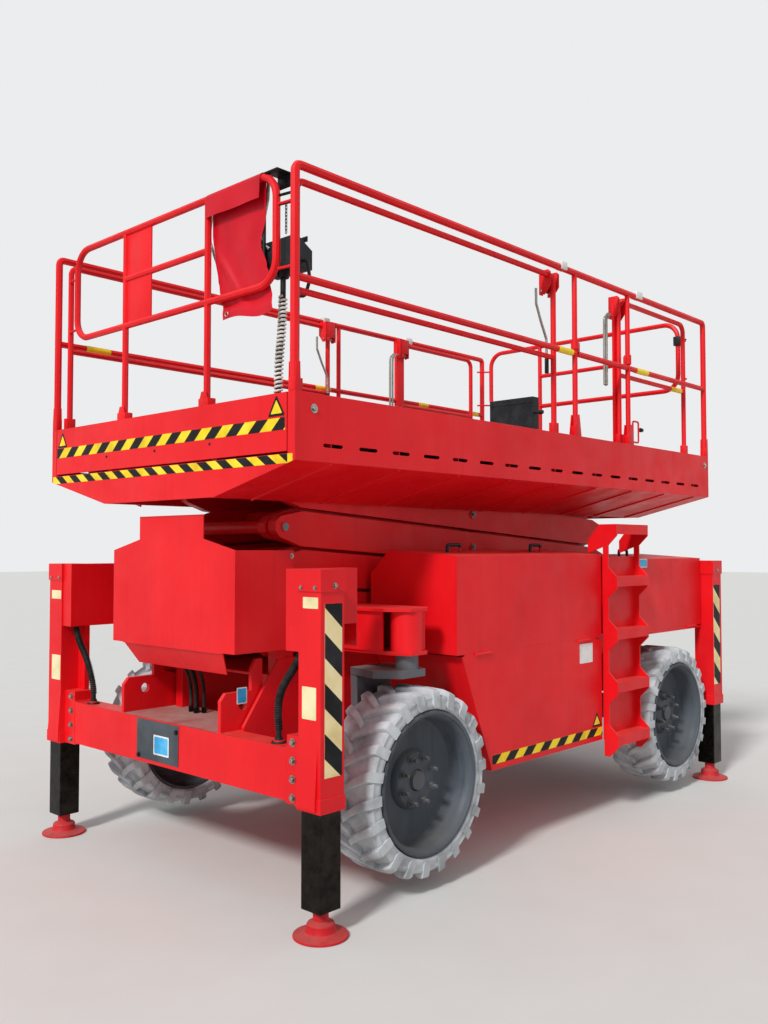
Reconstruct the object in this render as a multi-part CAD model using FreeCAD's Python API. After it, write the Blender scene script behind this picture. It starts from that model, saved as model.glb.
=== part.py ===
import FreeCAD, Part
import math
import os
from FreeCAD import Placement, Rotation, Vector

# Rough-terrain scissor lift standing on its four jack legs, in millimetres.
# X runs along the machine with the front at -X, Z is up, the floor is Z = 0.
# "right" is the -Y side, with the ladder, and "left" is the +Y side.

# Play and plate
plate = 6.0            # sheet of the covers, trays and platform skin
pin_play = 0.5         # radial play of a pin in its eye
seat_play = 0.3        # gap between faces that rest on each other on two bodies

# Wheels
tyre_radius = 452.0
tyre_width = 336.0
tyre_tread_depth = 30.0
lug_count = 22         # lugs on each shoulder of a tyre
rim_radius = 346.0
rim_wall = 12.0
rim_dish = 150.0       # disc's face behind the tyre's outer side
wheel_sides = lug_count * 2     # flat sides of the tyres and rims
wheel_lift = 73.0      # the jack legs hold the tyres this far off the floor
wheel_centre_y = 960.0
front_axle_x = -1224.0
rear_axle_x = 1376.0
hub_radius = 120.0
spindle_radius = 45.0

# Steering
kingpin_radius = 45.0
kingpin_housing_radius = 82.0
kingpin_low_z = 1146.0
kingpin_high_z = 1343.0
kingpin_plate = 16.0
knuckle_plate = 36.0
knuckle_boss_high = 72.0

# Chassis
wall_inner_y = 440.0
wall_plate = 20.0
wall_front_x = -1480.0
wall_rear_x = 1760.0
wall_low_z = 620.0
wall_high_z = 1350.0
deck_top_z = 1020.0
deck_plate = 15.0
beam_low_z = 545.0
beam_high_z = 775.0
beam_outer_x = 1962.0
beam_depth_x = 120.0
beam_half_y = 900.0
beam_end_plate = 12.0
tow_plate = 24.0
tow_plate_y = 420.0
tow_hole_radius = 25.0
tow_hole_x = beam_outer_x - 137    # a long pin passes inboard of the leg post
tow_hole_z = beam_high_z + 120

# Jack legs
leg_x = 1922.0
leg_y = 1088.0
leg_post = 139.0
leg_post_wall = 8.0
leg_tube_play = 0.75
leg_low_z = 535.0
leg_high_z = 1542.0
leg_cap_top_z = 1562.0
leg_cap_height = 95.0
leg_collar_height = 62.0
housing_low_z = 1205.0
jack_low_z = 115.0
jack_length = 1040.0
foot_radius = 121.5
foot_plate = 12.0
foot_boss_radius = 62.0
foot_boss_top_z = 62.0
foot_sides = 24

# Scissor stack: four stages of two crossed arms
stages = 4
arm_length = 3120.0    # pin to pin
stage_rise = 202.0     # height of a stage with the lift down
first_pin_z = 1155.0
arm_depth = 184.0
arm_end_radius = 60.0
arm_wide = 60.0
outer_arm_y = 395.0    # centre of the outer arm beam
inner_arm_y = 315.0    # centre of the inner arm beam
arm_pin_radius = 25.0
arm_pin_head_y = 431.0
arm_pin_end_y = 278.0
sleeve_radius = 35.0
pin_sides = 16         # flat sides that stand for a round pin
cross_tube_radius = 32.0
cross_tube_along = 1200.0
cross_tube_rise = 45.0
roller_radius = 80.0
roller_wide = 56.0

# Lift cylinder, in the middle of the first stage
cylinder_foot_along = -300.0   # along the first inner arm from its middle
cylinder_eye_along = 1400.0    # along the first outer arm from its middle
barrel_radius = 52.0
barrel_length = 900.0
barrel_neck = 66.0     # from the foot pin to the barrel, past the lugs
ram_radius = 30.0
eye_radius = 46.0
eye_wide = 84.0
cylinder_pin_radius = 22.0
lug_plate = 15.0

# Platform
platform_half_x = 2045.0
platform_half_y = 1050.0
hull_low_z = 1890.0
hull_low_half_y = 480.0
fascia_low_z = 2030.0
fascia_high_z = 2330.0
floor_top_z = 2165.0
corner_wide = 48.0
platform_beam_y = 440.0
platform_beam_wide = 40.0
end_panel = 12.0        # end plate of an extension
rib_count = 9
rib_proud = 10.0
slot_count = 17
slot_pitch = 227.0
slot_long = 126.0
slot_high = 17.0
slot_z = 2105.0

# Guard rails
rail_radius = 17.0     # inner rails
outer_rail_radius = 20.5
loop_radius = 18.0     # tube of the rounded end frames
post_radius = 16.0
tube_sides = 12        # flat sides that stand for a round tube of the rails
bend_chords = 3
flat_share = math.cos(math.pi / tube_sides)    # from a tube's axis to its flat sides, over its radius
outer_rail_y = platform_half_y - 23
inner_rail_y = platform_half_y - 72
top_rail_z = fascia_high_z + 999
mid_rail_z = top_rail_z - 494
inner_top_rail_z = top_rail_z - 47
inner_mid_rail_z = inner_top_rail_z - 490
socket_high_z = fascia_high_z + 130
end_post_x = platform_half_x - 17
entry_front_x = 240.0
entry_rear_x = 890.0

# Extensions
extension_deck_z = 2200.0
extension_plate = 15.0
front_deck_rear_x = -150.0
rear_deck_front_x = 860.0
front_inner_post_x = 80.0
rear_inner_post_x = platform_half_x - 245
loop_half_y = platform_half_y - 182
loop_top_z = top_rail_z + 14
loop_low_z = loop_top_z - 503
loop_bend = 120.0
loop_post_y = 362.0
loop_x = platform_half_x - 47
rear_loop_x = platform_half_x - 95
link_z = (inner_top_rail_z - 89, inner_mid_rail_z + 108)    # links between an end frame and the side rails
link_high = 24.0
floor_panel = 3.0      # tread plate on the floor between the two extension decks
floor_panel_half_y = platform_half_y - 100

# Control box under the front loop, and its weather cover
control_x0 = -loop_x + 56
control_x1 = control_x0 + 120
control_y0 = -915.0
control_y1 = -675.0
control_low_z = loop_top_z - 408
control_high_z = control_low_z + 127
carrier_y = (-735.0, -690.0)    # the two bars that hang the box from the loop
cover_sheet_y0 = -820.0
cover_sheet_low_z = loop_top_z - 603
cover_sheet = 8.0

# Hoses and the control cable; the routes' points are x, y, z
hose_sides = 10
arc_chords = 4
control_cable_diameter = 44.0
control_cable_route = [(-1898, -800, 2893), (-1898, -800, 2790), (-1908, -807, 2690), (-1925, -815, 2590),
                       (-1940, -821, 2480), (-1945, -824, 2360), (-1945, -824, 2215)]
leg_hose_diameter = 36.0
leg_hose_route = [(-1926, 980, 1310), (-1926, 980, 1240), (-1930, 958, 1172), (-1933, 912, 1108), (-1932, 858, 1050),
                  (-1927, 816, 980), (-1919, 799, 905), (-1910, 797, 845), (-1910, 797, 789)]

# Side boxes
box_outer_y = 1070.0
box_inner_y = 462.0
front_cover_x0 = -965.0
front_cover_x1 = 452.0
rear_cover_x0 = 878.0
rear_cover_x1 = 1838.0
cover_low_z = 1108.0
cover_gap = 10.0
hinge_inset = 60.0
hinge_long = 70.0
hinge_radius = 6.0
hinge_y = box_outer_y + hinge_radius + seat_play
hinge_z = cover_low_z - 5
front_cover_outer_z = 1613.0
rear_cover_outer_z = 1581.0
cover_top_rise = 29.0
cover_slope_y = 600.0
cover_slope_drop = 130.0
tray_low_z = 484.0
tray_slant = 250.0

# Ladder
ladder_x0 = 465.0
ladder_x1 = 865.0
ladder_plate = 12.0
ladder_outer_y = 1172.0
ladder_pitch = 322.0
ladder_top_z = 1800.0
ladder_steps = 5
tread_deep = 95.0

# Hood over the front of the frame
hood_x = -1953.0
hood_rear_x = -1585.0
hood_half_y = 528.0
hood_low_z = 1152.0
hood_shoulder_z = 1642.0
hood_neck_half_y = 278.0
hood_neck_low_z = 1698.0
hood_neck_high_z = 1818.0


def block(x0, x1, y0, y1, z0, z1):
    """Box between two corners."""
    return Part.makeBox(x1 - x0, y1 - y0, z1 - z0, Vector(x0, y0, z0))


def bar(p0, p1, radius):
    """Round bar between two points."""
    axis = Vector(*p1) - Vector(*p0)
    return Part.makeCylinder(radius, axis.Length, Vector(*p0), axis)


def bar_y(x, z, y0, y1, radius):
    """Round bar along Y."""
    return bar((x, y0, z), (x, y1, z), radius)


def sorted_y(side, y0, y1):
    """The two Y of a piece on one side, the lower one first."""
    return sorted((side * y0, side * y1))


def prism(points, along):
    """Flat outline pushed along a vector."""
    corners = [Vector(*p) for p in points]
    face = Part.Face(Part.makePolygon(corners + [corners[0]]))
    return face.extrude(Vector(*along))


def prism_x(outline_yz, x0, x1):
    return prism([(x0, y, z) for y, z in outline_yz], (x1 - x0, 0, 0))


def prism_y(outline_xz, y0, y1):
    return prism([(x, y0, z) for x, z in outline_xz], (0, y1 - y0, 0))


def prism_z(outline_xy, z0, z1):
    return prism([(x, y, z0) for x, y in outline_xy], (0, 0, z1 - z0))


def joined(shapes):
    """One shape from pieces that are welded together."""
    return shapes[0].multiFuse(shapes[1:]).removeSplitter()


def other_side(shape):
    """The same piece on the other side of the machine."""
    return shape.mirror(Vector(0, 0, 0), Vector(0, 1, 0))


def both_sides(shape):
    return [shape, other_side(shape)]


def skinned(loops, closed):
    """Solid of flat facets between rings that have as many corners; open ends get flat caps."""
    pairs = list(zip(loops, loops[1:] + loops[:1])) if closed else list(zip(loops, loops[1:]))
    faces = []
    for first, second in pairs:
        for a, b, c, d in zip(first, first[1:] + first[:1], second[1:] + second[:1], second):
            faces.append(Part.Face(Part.makePolygon([a, b, c, d, a])))
    if not closed:
        for loop in (loops[0], loops[-1]):
            faces.append(Part.Face(Part.makePolygon(loop + loop[:1])))
    solid = Part.Solid(Part.Shell(faces))
    if solid.Volume < 0:
        solid.reverse()
    return solid


def turned_ring(section, sides, closed=True):
    """Ring about the Y axis from its section of radius and Y, with as many flat sides as asked."""
    loops = []
    for radius, across in section:
        corners = []
        for i in range(sides):
            angle = 2 * math.pi * (i + 0.5) / sides
            corners.append(Vector(radius * math.cos(angle), across, radius * math.sin(angle)))
        loops.append(corners)
    return skinned(loops, closed)


def rounded_path(points, bend, closed=False):
    """Path with each corner replaced by short chords of an arc of the bend's radius."""
    corners = [Vector(*p) for p in points]
    count = len(corners)
    path = []
    for i, corner in enumerate(corners):
        if not closed and i in (0, count - 1):
            path.append(corner)
            continue
        way_in = (corners[i - 1] - corner).normalize()
        way_out = (corners[(i + 1) % count] - corner).normalize()
        half = way_in.getAngle(way_out) / 2
        centre = corner + (way_in + way_out).normalize() * (bend / math.sin(half))
        first = corner + way_in * (bend / math.tan(half)) - centre
        turn = math.pi - 2 * half
        axis = way_out.cross(way_in).normalize()
        for k in range(bend_chords + 1):
            spoke = Rotation(axis, math.degrees(turn * k / bend_chords)).multVec(first)
            path.append(centre + spoke)
    return path


def swept(path, radius, closed=False, sides=None):
    """Tube with flat sides along a path, mitred where the path turns."""
    sides = sides or tube_sides
    count = len(path)
    ways = [(path[(i + 1) % count] - path[i]).normalize() for i in range(count if closed else count - 1)]
    start = ways[0]
    across = start.cross(Vector(0, 0, 1) if abs(start.z) < 0.9 else Vector(0, 1, 0)).normalize()
    up = across.cross(start)
    loop = []
    for i in range(sides):
        angle = 2 * math.pi * (i + 0.5) / sides
        loop.append(path[0] + across * (radius * math.cos(angle)) + up * (radius * math.sin(angle)))
    loops = []
    for i in range(count):
        before = ways[i - 1] if closed or i > 0 else ways[0]
        after = ways[i] if i < len(ways) else ways[-1]
        normal = (before + after).normalize()
        slide = after if i == 0 else before
        loop = [p + slide * ((path[i] - p).dot(normal) / slide.dot(normal)) for p in loop]
        loops.append(loop)
    return skinned(loops, closed)


def tube(p0, p1, radius, sides=None):
    return swept([Vector(*p0), Vector(*p1)], radius, False, sides)


def tube_y(x, z, y0, y1, radius, sides=None):
    return tube((x, y0, z), (x, y1, z), radius, sides)


def bent_tube(points, radius, bend):
    return swept(rounded_path(points, bend), radius)


def ring_tube(points, radius, bend):
    """Closed rounded frame of tube, from its corners in order."""
    return swept(rounded_path(points, bend, True), radius, True)


def turned(shape, x, z, degrees):
    """Shape turned about a Y axis so that +X tips towards +Z."""
    copy = shape.copy()
    copy.rotate(Vector(x, 0, z), Vector(0, -1, 0), degrees)
    return copy


arm_angle = math.degrees(math.asin(stage_rise / arm_length))
arm_half = arm_length / 2
front_pin_x = -arm_half * math.cos(math.radians(arm_angle))
rear_pin_x = -front_pin_x
wheel_z = wheel_lift + tyre_radius


def stage_z(stage):
    """Height of the pins below a stage, counted from 0."""
    return first_pin_z + stage * stage_rise


def tyre(x, y):
    """Tyre as a ring of flat sides with a row of lugs on each shoulder."""
    base = tyre_radius - tyre_tread_depth
    half = tyre_width / 2
    # radius and y of the section, from the bead over the tread to the bead
    section = [(rim_radius, -half + 18), (base - 22, -half + 4), (base, -half + 40),
               (base, half - 40), (base - 22, half - 4), (rim_radius, half - 18)]
    carcass = turned_ring(section, wheel_sides)
    lugs = []
    pitch = 360.0 / lug_count
    for side in (-1, 1):
        lug = prism_y([(base - 16, -26), (tyre_radius - 0.5, -19), (tyre_radius - 0.5, 19), (base - 16, 26)],
                      0, side * half)
        for i in range(lug_count):
            copy = lug.copy()
            turn = pitch * (i + (0.75 if side > 0 else 0.25))
            copy.rotate(Vector(0, 0, 0), Vector(0, 1, 0), turn)
            lugs.append(copy)
    shape = carcass.multiFuse(lugs)
    shape.translate(Vector(x, y, wheel_z))
    return shape


def rim(x, y, side):
    """Deep dished disc wheel; side is the sign of its outer face."""
    half = tyre_width / 2
    outer = rim_radius - seat_play
    inner = outer - rim_wall
    disc_y = half - rim_dish
    # radius, y outwards
    # the bore's flat sides lie one play off the round spindle
    bore = (spindle_radius + seat_play) / math.cos(math.pi / wheel_sides)
    section = [(bore, disc_y - 14), (inner - 40, disc_y - 14), (inner, disc_y - 60),
               (inner, -half + 20), (outer, -half + 20), (outer, half + 2), (outer - 24, half + 2),
               (inner - 34, disc_y), (150, disc_y), (138, disc_y + 34), (bore, disc_y + 34)]
    shape = turned_ring([(radius, side * across) for radius, across in section], wheel_sides)
    shape.translate(Vector(x, y, wheel_z))
    return shape


def knuckle(side):
    """Steering knuckle: kingpin boss, steering plate, carrier inboard of the tyre and the spindle."""
    x, y = front_axle_x, side * wheel_centre_y
    top = kingpin_low_z - kingpin_plate - seat_play
    plate_high = top - knuckle_boss_high
    inner_y = side * (wheel_centre_y - tyre_width / 2 - 95)
    steering_plate = prism_z([(x - 95, y + side * 60), (x + 70, y + side * 60), (x + 134, y - side * 60),
                              (x + 125, inner_y), (x - 130, inner_y), (x - 180, y - side * 60)],
                             plate_high - knuckle_plate, plate_high)
    boss = tube((x, y, plate_high - 4), (x, y, top), kingpin_radius + 12, 20)
    kingpin = bar((x, y, plate_high), (x, y, kingpin_high_z - 8), kingpin_radius)
    y0, y1 = sorted((inner_y, inner_y + side * 45))
    carrier = prism_y([(x - 130, plate_high - 2), (x + 125, plate_high - 2), (x + 110, 420), (x - 110, 420)], y0, y1)
    disc_y = y + side * (tyre_width / 2 - rim_dish)
    spindle = bar((x, inner_y, wheel_z), (x, disc_y + side * 60, wheel_z), spindle_radius)
    motor = tube((x, inner_y - side * 40, wheel_z), (x, y - side * 60, wheel_z), hub_radius, 20)
    return joined([steering_plate, boss, kingpin, carrier, spindle, motor])


def front_axle():
    """Kingpin brackets that stand out from the chassis walls above the front tyres."""
    out = []
    x, y, reach = front_axle_x, -wheel_centre_y, kingpin_housing_radius
    root_y = -(wall_inner_y + wall_plate)
    low, high = kingpin_low_z, kingpin_high_z
    outline = [(x - 145, root_y), (x - 145, y + 20), (x - 60, y - 82), (x + 60, y - 82),
               (x + 118, y - 40), (x + 118, root_y)]
    top = prism_z(outline, high, high + kingpin_plate)
    bottom = prism_z([(x - 105, root_y), (x - 105, y + 20), (x - 60, y - 82), (x + 60, y - 82),
                      (x + 105, y - 40), (x + 105, root_y)], low - kingpin_plate, low)
    housing = tube((x, y, low), (x, y, high), reach, 24)
    front = block(x - 120, x - 104, y + 60, root_y, low, high)
    rear = block(x + 88, x + 104, y - 30, root_y, low, high)
    flange = block(x - 170, x + 150, root_y - 16, root_y, low - 60, high + 16)
    bore = bar((x, y, low - 30), (x, y, high), kingpin_radius + pin_play)
    bracket = joined([top, bottom, housing, front, rear, flange]).cut(bore)
    out.extend(both_sides(bracket))
    return Part.makeCompound(out)


def rear_axle():
    """Rear axle beam with its drive hubs, hung from the chassis by two brackets."""
    x = rear_axle_x
    inner_y = wheel_centre_y - tyre_width / 2 - 60
    beam = block(x - 75, x + 75, -inner_y, inner_y, wheel_z - 75, wheel_z + 75)
    parts = [beam, tube_y(x, wheel_z, -170, 170, 135, 16)]
    for side in (-1, 1):
        y = side * wheel_centre_y
        disc_y = y + side * (tyre_width / 2 - rim_dish)
        parts.append(tube((x, side * (inner_y - 60), wheel_z), (x, y - side * 60, wheel_z), hub_radius, 20))
        parts.append(bar((x, side * inner_y, wheel_z), (x, disc_y + side * 60, wheel_z), spindle_radius))
        y0, y1 = sorted((side * 300, side * 460))
        hanger = prism_y([(x - 90, wheel_z + 60), (x + 90, wheel_z + 60), (x + 150, wall_low_z),
                          (x - 150, wall_low_z)], y0, y1)
        parts.append(hanger)
    return joined(parts)


def chassis_frame():
    """Two tall walls joined by the deck that the scissor stack stands on."""
    parts = []
    y1 = wall_inner_y + wall_plate
    wall = prism_y([(wall_front_x, wall_low_z), (wall_rear_x, wall_low_z), (wall_rear_x, 1080),
                    (wall_rear_x - 120, 1180), (-900, 1180), (-1000, wall_high_z), (wall_front_x, wall_high_z)],
                   wall_inner_y, y1)
    front_cheek = prism_y([(-beam_outer_x + beam_depth_x, beam_low_z + 20), (wall_front_x, wall_low_z),
                           (wall_front_x, 1100), (-1620, 1100), (-beam_outer_x + beam_depth_x, 790)],
                          wall_inner_y, y1)
    sill = block(wall_front_x, wall_rear_x, 300, wall_inner_y, wall_low_z, wall_low_z + 120)
    rear_cheek = prism_y([(beam_outer_x - beam_depth_x, beam_low_z + 20), (wall_rear_x, wall_low_z),
                          (wall_rear_x, 940), (beam_outer_x - beam_depth_x, 790)], wall_inner_y, y1)
    track = block(-60, wall_rear_x - 60, inner_arm_y - 30, inner_arm_y + 30, deck_top_z,
                  first_pin_z - roller_radius - seat_play)
    boss = bar_y(front_pin_x, first_pin_z, inner_arm_y + arm_wide / 2 + 6, wall_inner_y, 60)
    boss_foot = block(front_pin_x - 50, front_pin_x + 50, 360, wall_inner_y, deck_top_z, first_pin_z)
    pin = bar_y(front_pin_x, first_pin_z, arm_pin_end_y, wall_inner_y, arm_pin_radius)
    for piece in (wall, front_cheek, rear_cheek, sill, track, boss, boss_foot, pin):
        parts.extend(both_sides(piece))
    parts.append(block(-1640, wall_rear_x, -wall_inner_y, wall_inner_y, deck_top_z - deck_plate, deck_top_z))
    # x0 and x1 of the cross members under the deck
    for x0, x1 in ((-1480, -1360), (-500, -400), (450, 550), (1640, 1760)):
        parts.append(block(x0, x1, -300, 300, wall_low_z, wall_low_z + 120))
    # the front posts that the deck stands on, over the front beam
    for side in (-1, 1):
        y0, y1 = sorted((side * 330, side * 390))
        parts.append(block(-1640, -1580, y0, y1, beam_high_z, deck_top_z - deck_plate))
    return joined(parts)


def end_beam(end):
    """Cross beam at one end with its tow plates; end is the sign of X."""
    x_out, x_in = beam_outer_x, beam_outer_x - beam_depth_x
    beam = block(x_in, x_out, -beam_half_y, beam_half_y, beam_low_z, beam_high_z)
    hollow = block(x_in + 10, x_out - 10, -beam_half_y - 1, beam_half_y + 1, beam_low_z + 10, beam_high_z - 10)
    parts = [beam.cut(hollow)]
    parts.append(block(wall_rear_x - 180, x_in, -wall_inner_y, wall_inner_y, beam_high_z - 12, beam_high_z))
    tab = [(x_in - 70, 1060), (x_in - 100, 1110), (x_in - 140, 1110), (x_in - 140, beam_high_z + 200)]
    for side in (-1, 1):
        y0, y1 = sorted_y(side, tow_plate_y - tow_plate / 2, tow_plate_y + tow_plate / 2)
        # only the front plates have an upright tab
        eye = prism_y([(x_in - 340, beam_high_z), (x_out - 4, beam_high_z), (x_out - 4, beam_high_z + 150),
                       (x_out - 34, beam_high_z + 185), (x_in - 70, beam_high_z + 185)] + (tab if end < 0 else [])
                      + [(x_in - 340, beam_high_z + 150)], y0, y1)
        parts.append(eye.cut(bar_y(tow_hole_x, tow_hole_z, y0 - 1, y1 + 1, tow_hole_radius)))
        y0, y1 = sorted((side * beam_half_y, side * (beam_half_y + beam_end_plate)))
        parts.append(block(x_in, x_out, y0, y1, beam_low_z - 8, beam_high_z + 8))
    if end < 0:
        x, y, z = leg_hose_route[-1]
        for side in (-1, 1):
            parts.append(tube((-x, side * y, beam_high_z - 2), (-x, side * y, z), leg_hose_diameter / 2 + 8))
    shape = joined(parts)
    if end < 0:
        shape = shape.mirror(Vector(0, 0, 0), Vector(1, 0, 0))
    return shape


def leg_post_piece():
    """Square leg post with its cap, collar, flange and hose housing, at the rear left corner."""
    half = leg_post / 2
    x, y = leg_x, leg_y
    post = block(x - half, x + half, y - half, y + half, leg_low_z, leg_high_z)
    collar = block(x - half - 5, x + half + 5, y - half - 5, y + half + 5, leg_low_z, leg_low_z + leg_collar_height)
    cap = block(x - half - 6, x + half + 6, y - half - 6, y + half + 6, leg_cap_top_z - leg_cap_height, leg_cap_top_z)
    flange = block(x - 80, x + 40, beam_half_y + beam_end_plate, y - half, beam_low_z - 8, beam_high_z + 60)
    gusset = prism_y([(x + half, leg_low_z + 10), (x + half + 14, leg_low_z + 10), (x + half + 14, leg_low_z + 60),
                      (x + half, leg_low_z + 280)], y - half, y + half - 20)
    inner = half - leg_post_wall
    bore = block(x - inner, x + inner, y - inner, y + inner, leg_low_z - 1, leg_high_z - 10)
    return joined([post, collar, cap, flange, gusset]).cut(bore)


def hose_housing():
    """Housing on the inner side of a front leg, where its hoses come out."""
    y1 = leg_y - leg_post / 2
    y0 = y1 - 92
    outer = block(leg_x - 290, leg_x + 62, y0, y1, housing_low_z, leg_cap_top_z)
    inner = block(leg_x - 284, leg_x + 56, y0 + plate, y1, housing_low_z - 1, leg_hose_route[0][2])
    web = block(leg_x - 70, leg_x - 40, y0 + 20, y1, beam_high_z + 60, housing_low_z)
    return joined([outer.cut(inner), web])


def leg_posts():
    """Four leg posts; those at the front carry a hose housing."""
    rear_left = leg_post_piece()
    front_left = joined([rear_left, hose_housing()]).mirror(Vector(0, 0, 0), Vector(1, 0, 0))
    return Part.makeCompound([rear_left, other_side(rear_left), front_left, other_side(front_left)])


def jack_tube(x, y):
    """Square inner tube of a leg."""
    half = leg_post / 2 - leg_post_wall - leg_tube_play
    tube = block(x - half, x + half, y - half, y + half, jack_low_z, jack_low_z + jack_length)
    inner = half - 10
    hollow = block(x - inner, x + inner, y - inner, y + inner, jack_low_z + 12, jack_low_z + jack_length + 1)
    return tube.cut(hollow)


def foot(x, y):
    """Round foot pad with its boss and the ball stem that the tube stands on."""
    # radius and height
    section = [(foot_radius - 6, 0), (foot_radius, foot_plate), (foot_boss_radius + 6, foot_plate + 6),
               (foot_boss_radius, foot_boss_top_z), (34, foot_boss_top_z + 4), (34, jack_low_z)]
    shape = turned_ring(section, foot_sides, False)
    shape.rotate(Vector(0, 0, 0), Vector(1, 0, 0), 90)
    shape.translate(Vector(x, y, 0))
    return shape


def arm_beam(y, holes):
    """One beam of an arm along X about the origin, with its eyes at both ends and the middle."""
    deep, r, reach = arm_depth / 2, arm_end_radius, arm_half
    y0, y1 = y - arm_wide / 2, y + arm_wide / 2
    end = [(reach - 120, -deep), (reach + r * 0.45, -r * 0.9), (reach + r, -r * 0.4),
           (reach + r, r * 0.4), (reach + r * 0.45, r * 0.9), (reach - 120, deep)]
    shape = prism_y(end + [(-x, -z) for x, z in end], y0, y1)
    for x in holes:
        shape = shape.cut(bar_y(x, 0, y0 - 1, y1 + 1, arm_pin_radius + pin_play))
    return shape


def inner_arm(stage):
    """Inner arm of a stage: low at the front, high at the rear."""
    beam = arm_beam(inner_arm_y, (-arm_half, 0, arm_half))
    parts = both_sides(beam)
    half = inner_arm_y - arm_wide / 2
    for along in (-cross_tube_along, cross_tube_along):
        parts.append(tube_y(along, cross_tube_rise, -half, half, cross_tube_radius))
    if stage == 0:
        parts.append(tube_y(cylinder_foot_along + 64, -60, -half, half, 28))
        for side in (-1, 1):
            y0, y1 = sorted((side * (eye_wide / 2 + 3), side * (eye_wide / 2 + 3 + lug_plate)))
            lug = prism_y([(cylinder_foot_along - 34, 24), (cylinder_foot_along + 30, 30),
                           (cylinder_foot_along + 94, -56), (cylinder_foot_along + 34, -92),
                           (cylinder_foot_along - 34, -20)], y0, y1)
            parts.append(lug)
        parts.append(bar_y(cylinder_foot_along, 0, -eye_wide / 2 - 3, eye_wide / 2 + 3, cylinder_pin_radius))
    if stage == stages - 1:
        for side in (-1, 1):
            y0, y1 = sorted((side * arm_pin_end_y, side * (outer_arm_y + roller_wide / 2 + 4)))
            parts.append(bar_y(arm_half, 0, y0, y1, arm_pin_radius + pin_play))
            y0, y1 = sorted((side * (outer_arm_y - roller_wide / 2), side * (outer_arm_y + roller_wide / 2)))
            parts.append(tube_y(arm_half, 0, y0, y1, roller_radius, 24))
    return turned(joined(parts), 0, 0, arm_angle)


def outer_arm(stage):
    """Outer arm of a stage: high at the front, low at the rear, with the pins of its joints."""
    beam = arm_beam(outer_arm_y, ())
    parts = both_sides(beam)
    half = inner_arm_y - arm_wide / 2 - 5
    first = stage == 0
    last = stage == stages - 1
    for side in (-1, 1):
        y0, y1 = sorted((side * arm_pin_end_y, side * arm_pin_head_y))
        parts.append(tube_y(0, 0, y0, y1, arm_pin_radius, pin_sides))
        y0, y1 = sorted((side * arm_pin_end_y, side * arm_pin_head_y))
        if not last:
            parts.append(tube_y(-arm_half, 0, y0, y1, arm_pin_radius, pin_sides))
        if not first:
            parts.append(tube_y(arm_half, 0, y0, y1, arm_pin_radius, pin_sides))
    if last:
        for side in (-1, 1):
            y0, y1 = sorted((side * (outer_arm_y - 20), side * (platform_beam_y + platform_beam_wide + 6)))
            parts.append(tube_y(-arm_half, 0, y0, y1, arm_pin_radius, pin_sides))
    else:
        parts.append(tube_y(-arm_half, 0, -half, half, sleeve_radius))
    if first:
        for side in (-1, 1):
            y0, y1 = sorted((side * (inner_arm_y - roller_wide / 2), side * arm_pin_head_y))
            parts.append(tube_y(arm_half, 0, y0, y1, arm_pin_radius, pin_sides))
            y0, y1 = sorted((side * (inner_arm_y - roller_wide / 2), side * (inner_arm_y + roller_wide / 2)))
            parts.append(tube_y(arm_half, 0, y0, y1, roller_radius, 24))
            y0, y1 = sorted((side * (eye_wide / 2 + 3), side * (eye_wide / 2 + 3 + lug_plate)))
            lug = prism_y([(-arm_half, -34), (-arm_half, 34), (-cylinder_eye_along - 10, 32),
                           (-cylinder_eye_along + 32, 14), (-cylinder_eye_along + 32, -14),
                           (-cylinder_eye_along - 10, -32)], y0, y1)
            parts.append(lug)
    else:
        parts.append(tube_y(arm_half, 0, -half, half, sleeve_radius))
    return turned(joined(parts), 0, 0, -arm_angle)


def placed_arm(shape, stage):
    shape.translate(Vector(0, 0, stage_z(stage) + stage_rise / 2))
    return shape


def on_inner_arm(along):
    """Point on the centre line of the first inner arm."""
    a = math.radians(arm_angle)
    return along * math.cos(a), stage_z(0) + stage_rise / 2 + along * math.sin(a)


def on_outer_arm(along):
    """Point on the centre line of the first outer arm, counted towards the front."""
    a = math.radians(arm_angle)
    return -along * math.cos(a), stage_z(0) + stage_rise / 2 + along * math.sin(a)


def cylinder_frame():
    """Foot point, eye point and unit way of the lift cylinder with the lift down."""
    foot_x, foot_z = on_inner_arm(cylinder_foot_along)
    eye_x, eye_z = on_outer_arm(cylinder_eye_along)
    way = Vector(eye_x - foot_x, 0, eye_z - foot_z)
    length = way.Length
    return Vector(foot_x, 0, foot_z), Vector(eye_x, 0, eye_z), way.normalize(), length


def lift_barrel():
    foot_point, eye_point, way, length = cylinder_frame()
    start = foot_point + way * barrel_neck
    body = Part.makeCylinder(barrel_radius, barrel_length - barrel_neck, start, way)
    neck = Part.makeCylinder(eye_wide / 2 - 2, barrel_neck, foot_point + way * 20, way)
    gland = Part.makeCylinder(barrel_radius + 6, 60, foot_point + way * (barrel_length - 60), way)
    eye = bar_y(foot_point.x, foot_point.z, -eye_wide / 2, eye_wide / 2, eye_radius)
    pin_hole = bar_y(foot_point.x, foot_point.z, -eye_wide, eye_wide, cylinder_pin_radius + pin_play)
    bore = Part.makeCylinder(ram_radius + pin_play, barrel_length - 60, foot_point + way * 80, way)
    return joined([body, neck, gland, eye]).cut(pin_hole).cut(bore)


def lift_ram():
    foot_point, eye_point, way, length = cylinder_frame()
    ram = Part.makeCylinder(ram_radius, length - 90, foot_point + way * 90, way)
    eye = bar_y(eye_point.x, eye_point.z, -eye_wide / 2, eye_wide / 2, ram_radius + 8)
    return joined([ram, eye])


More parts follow.
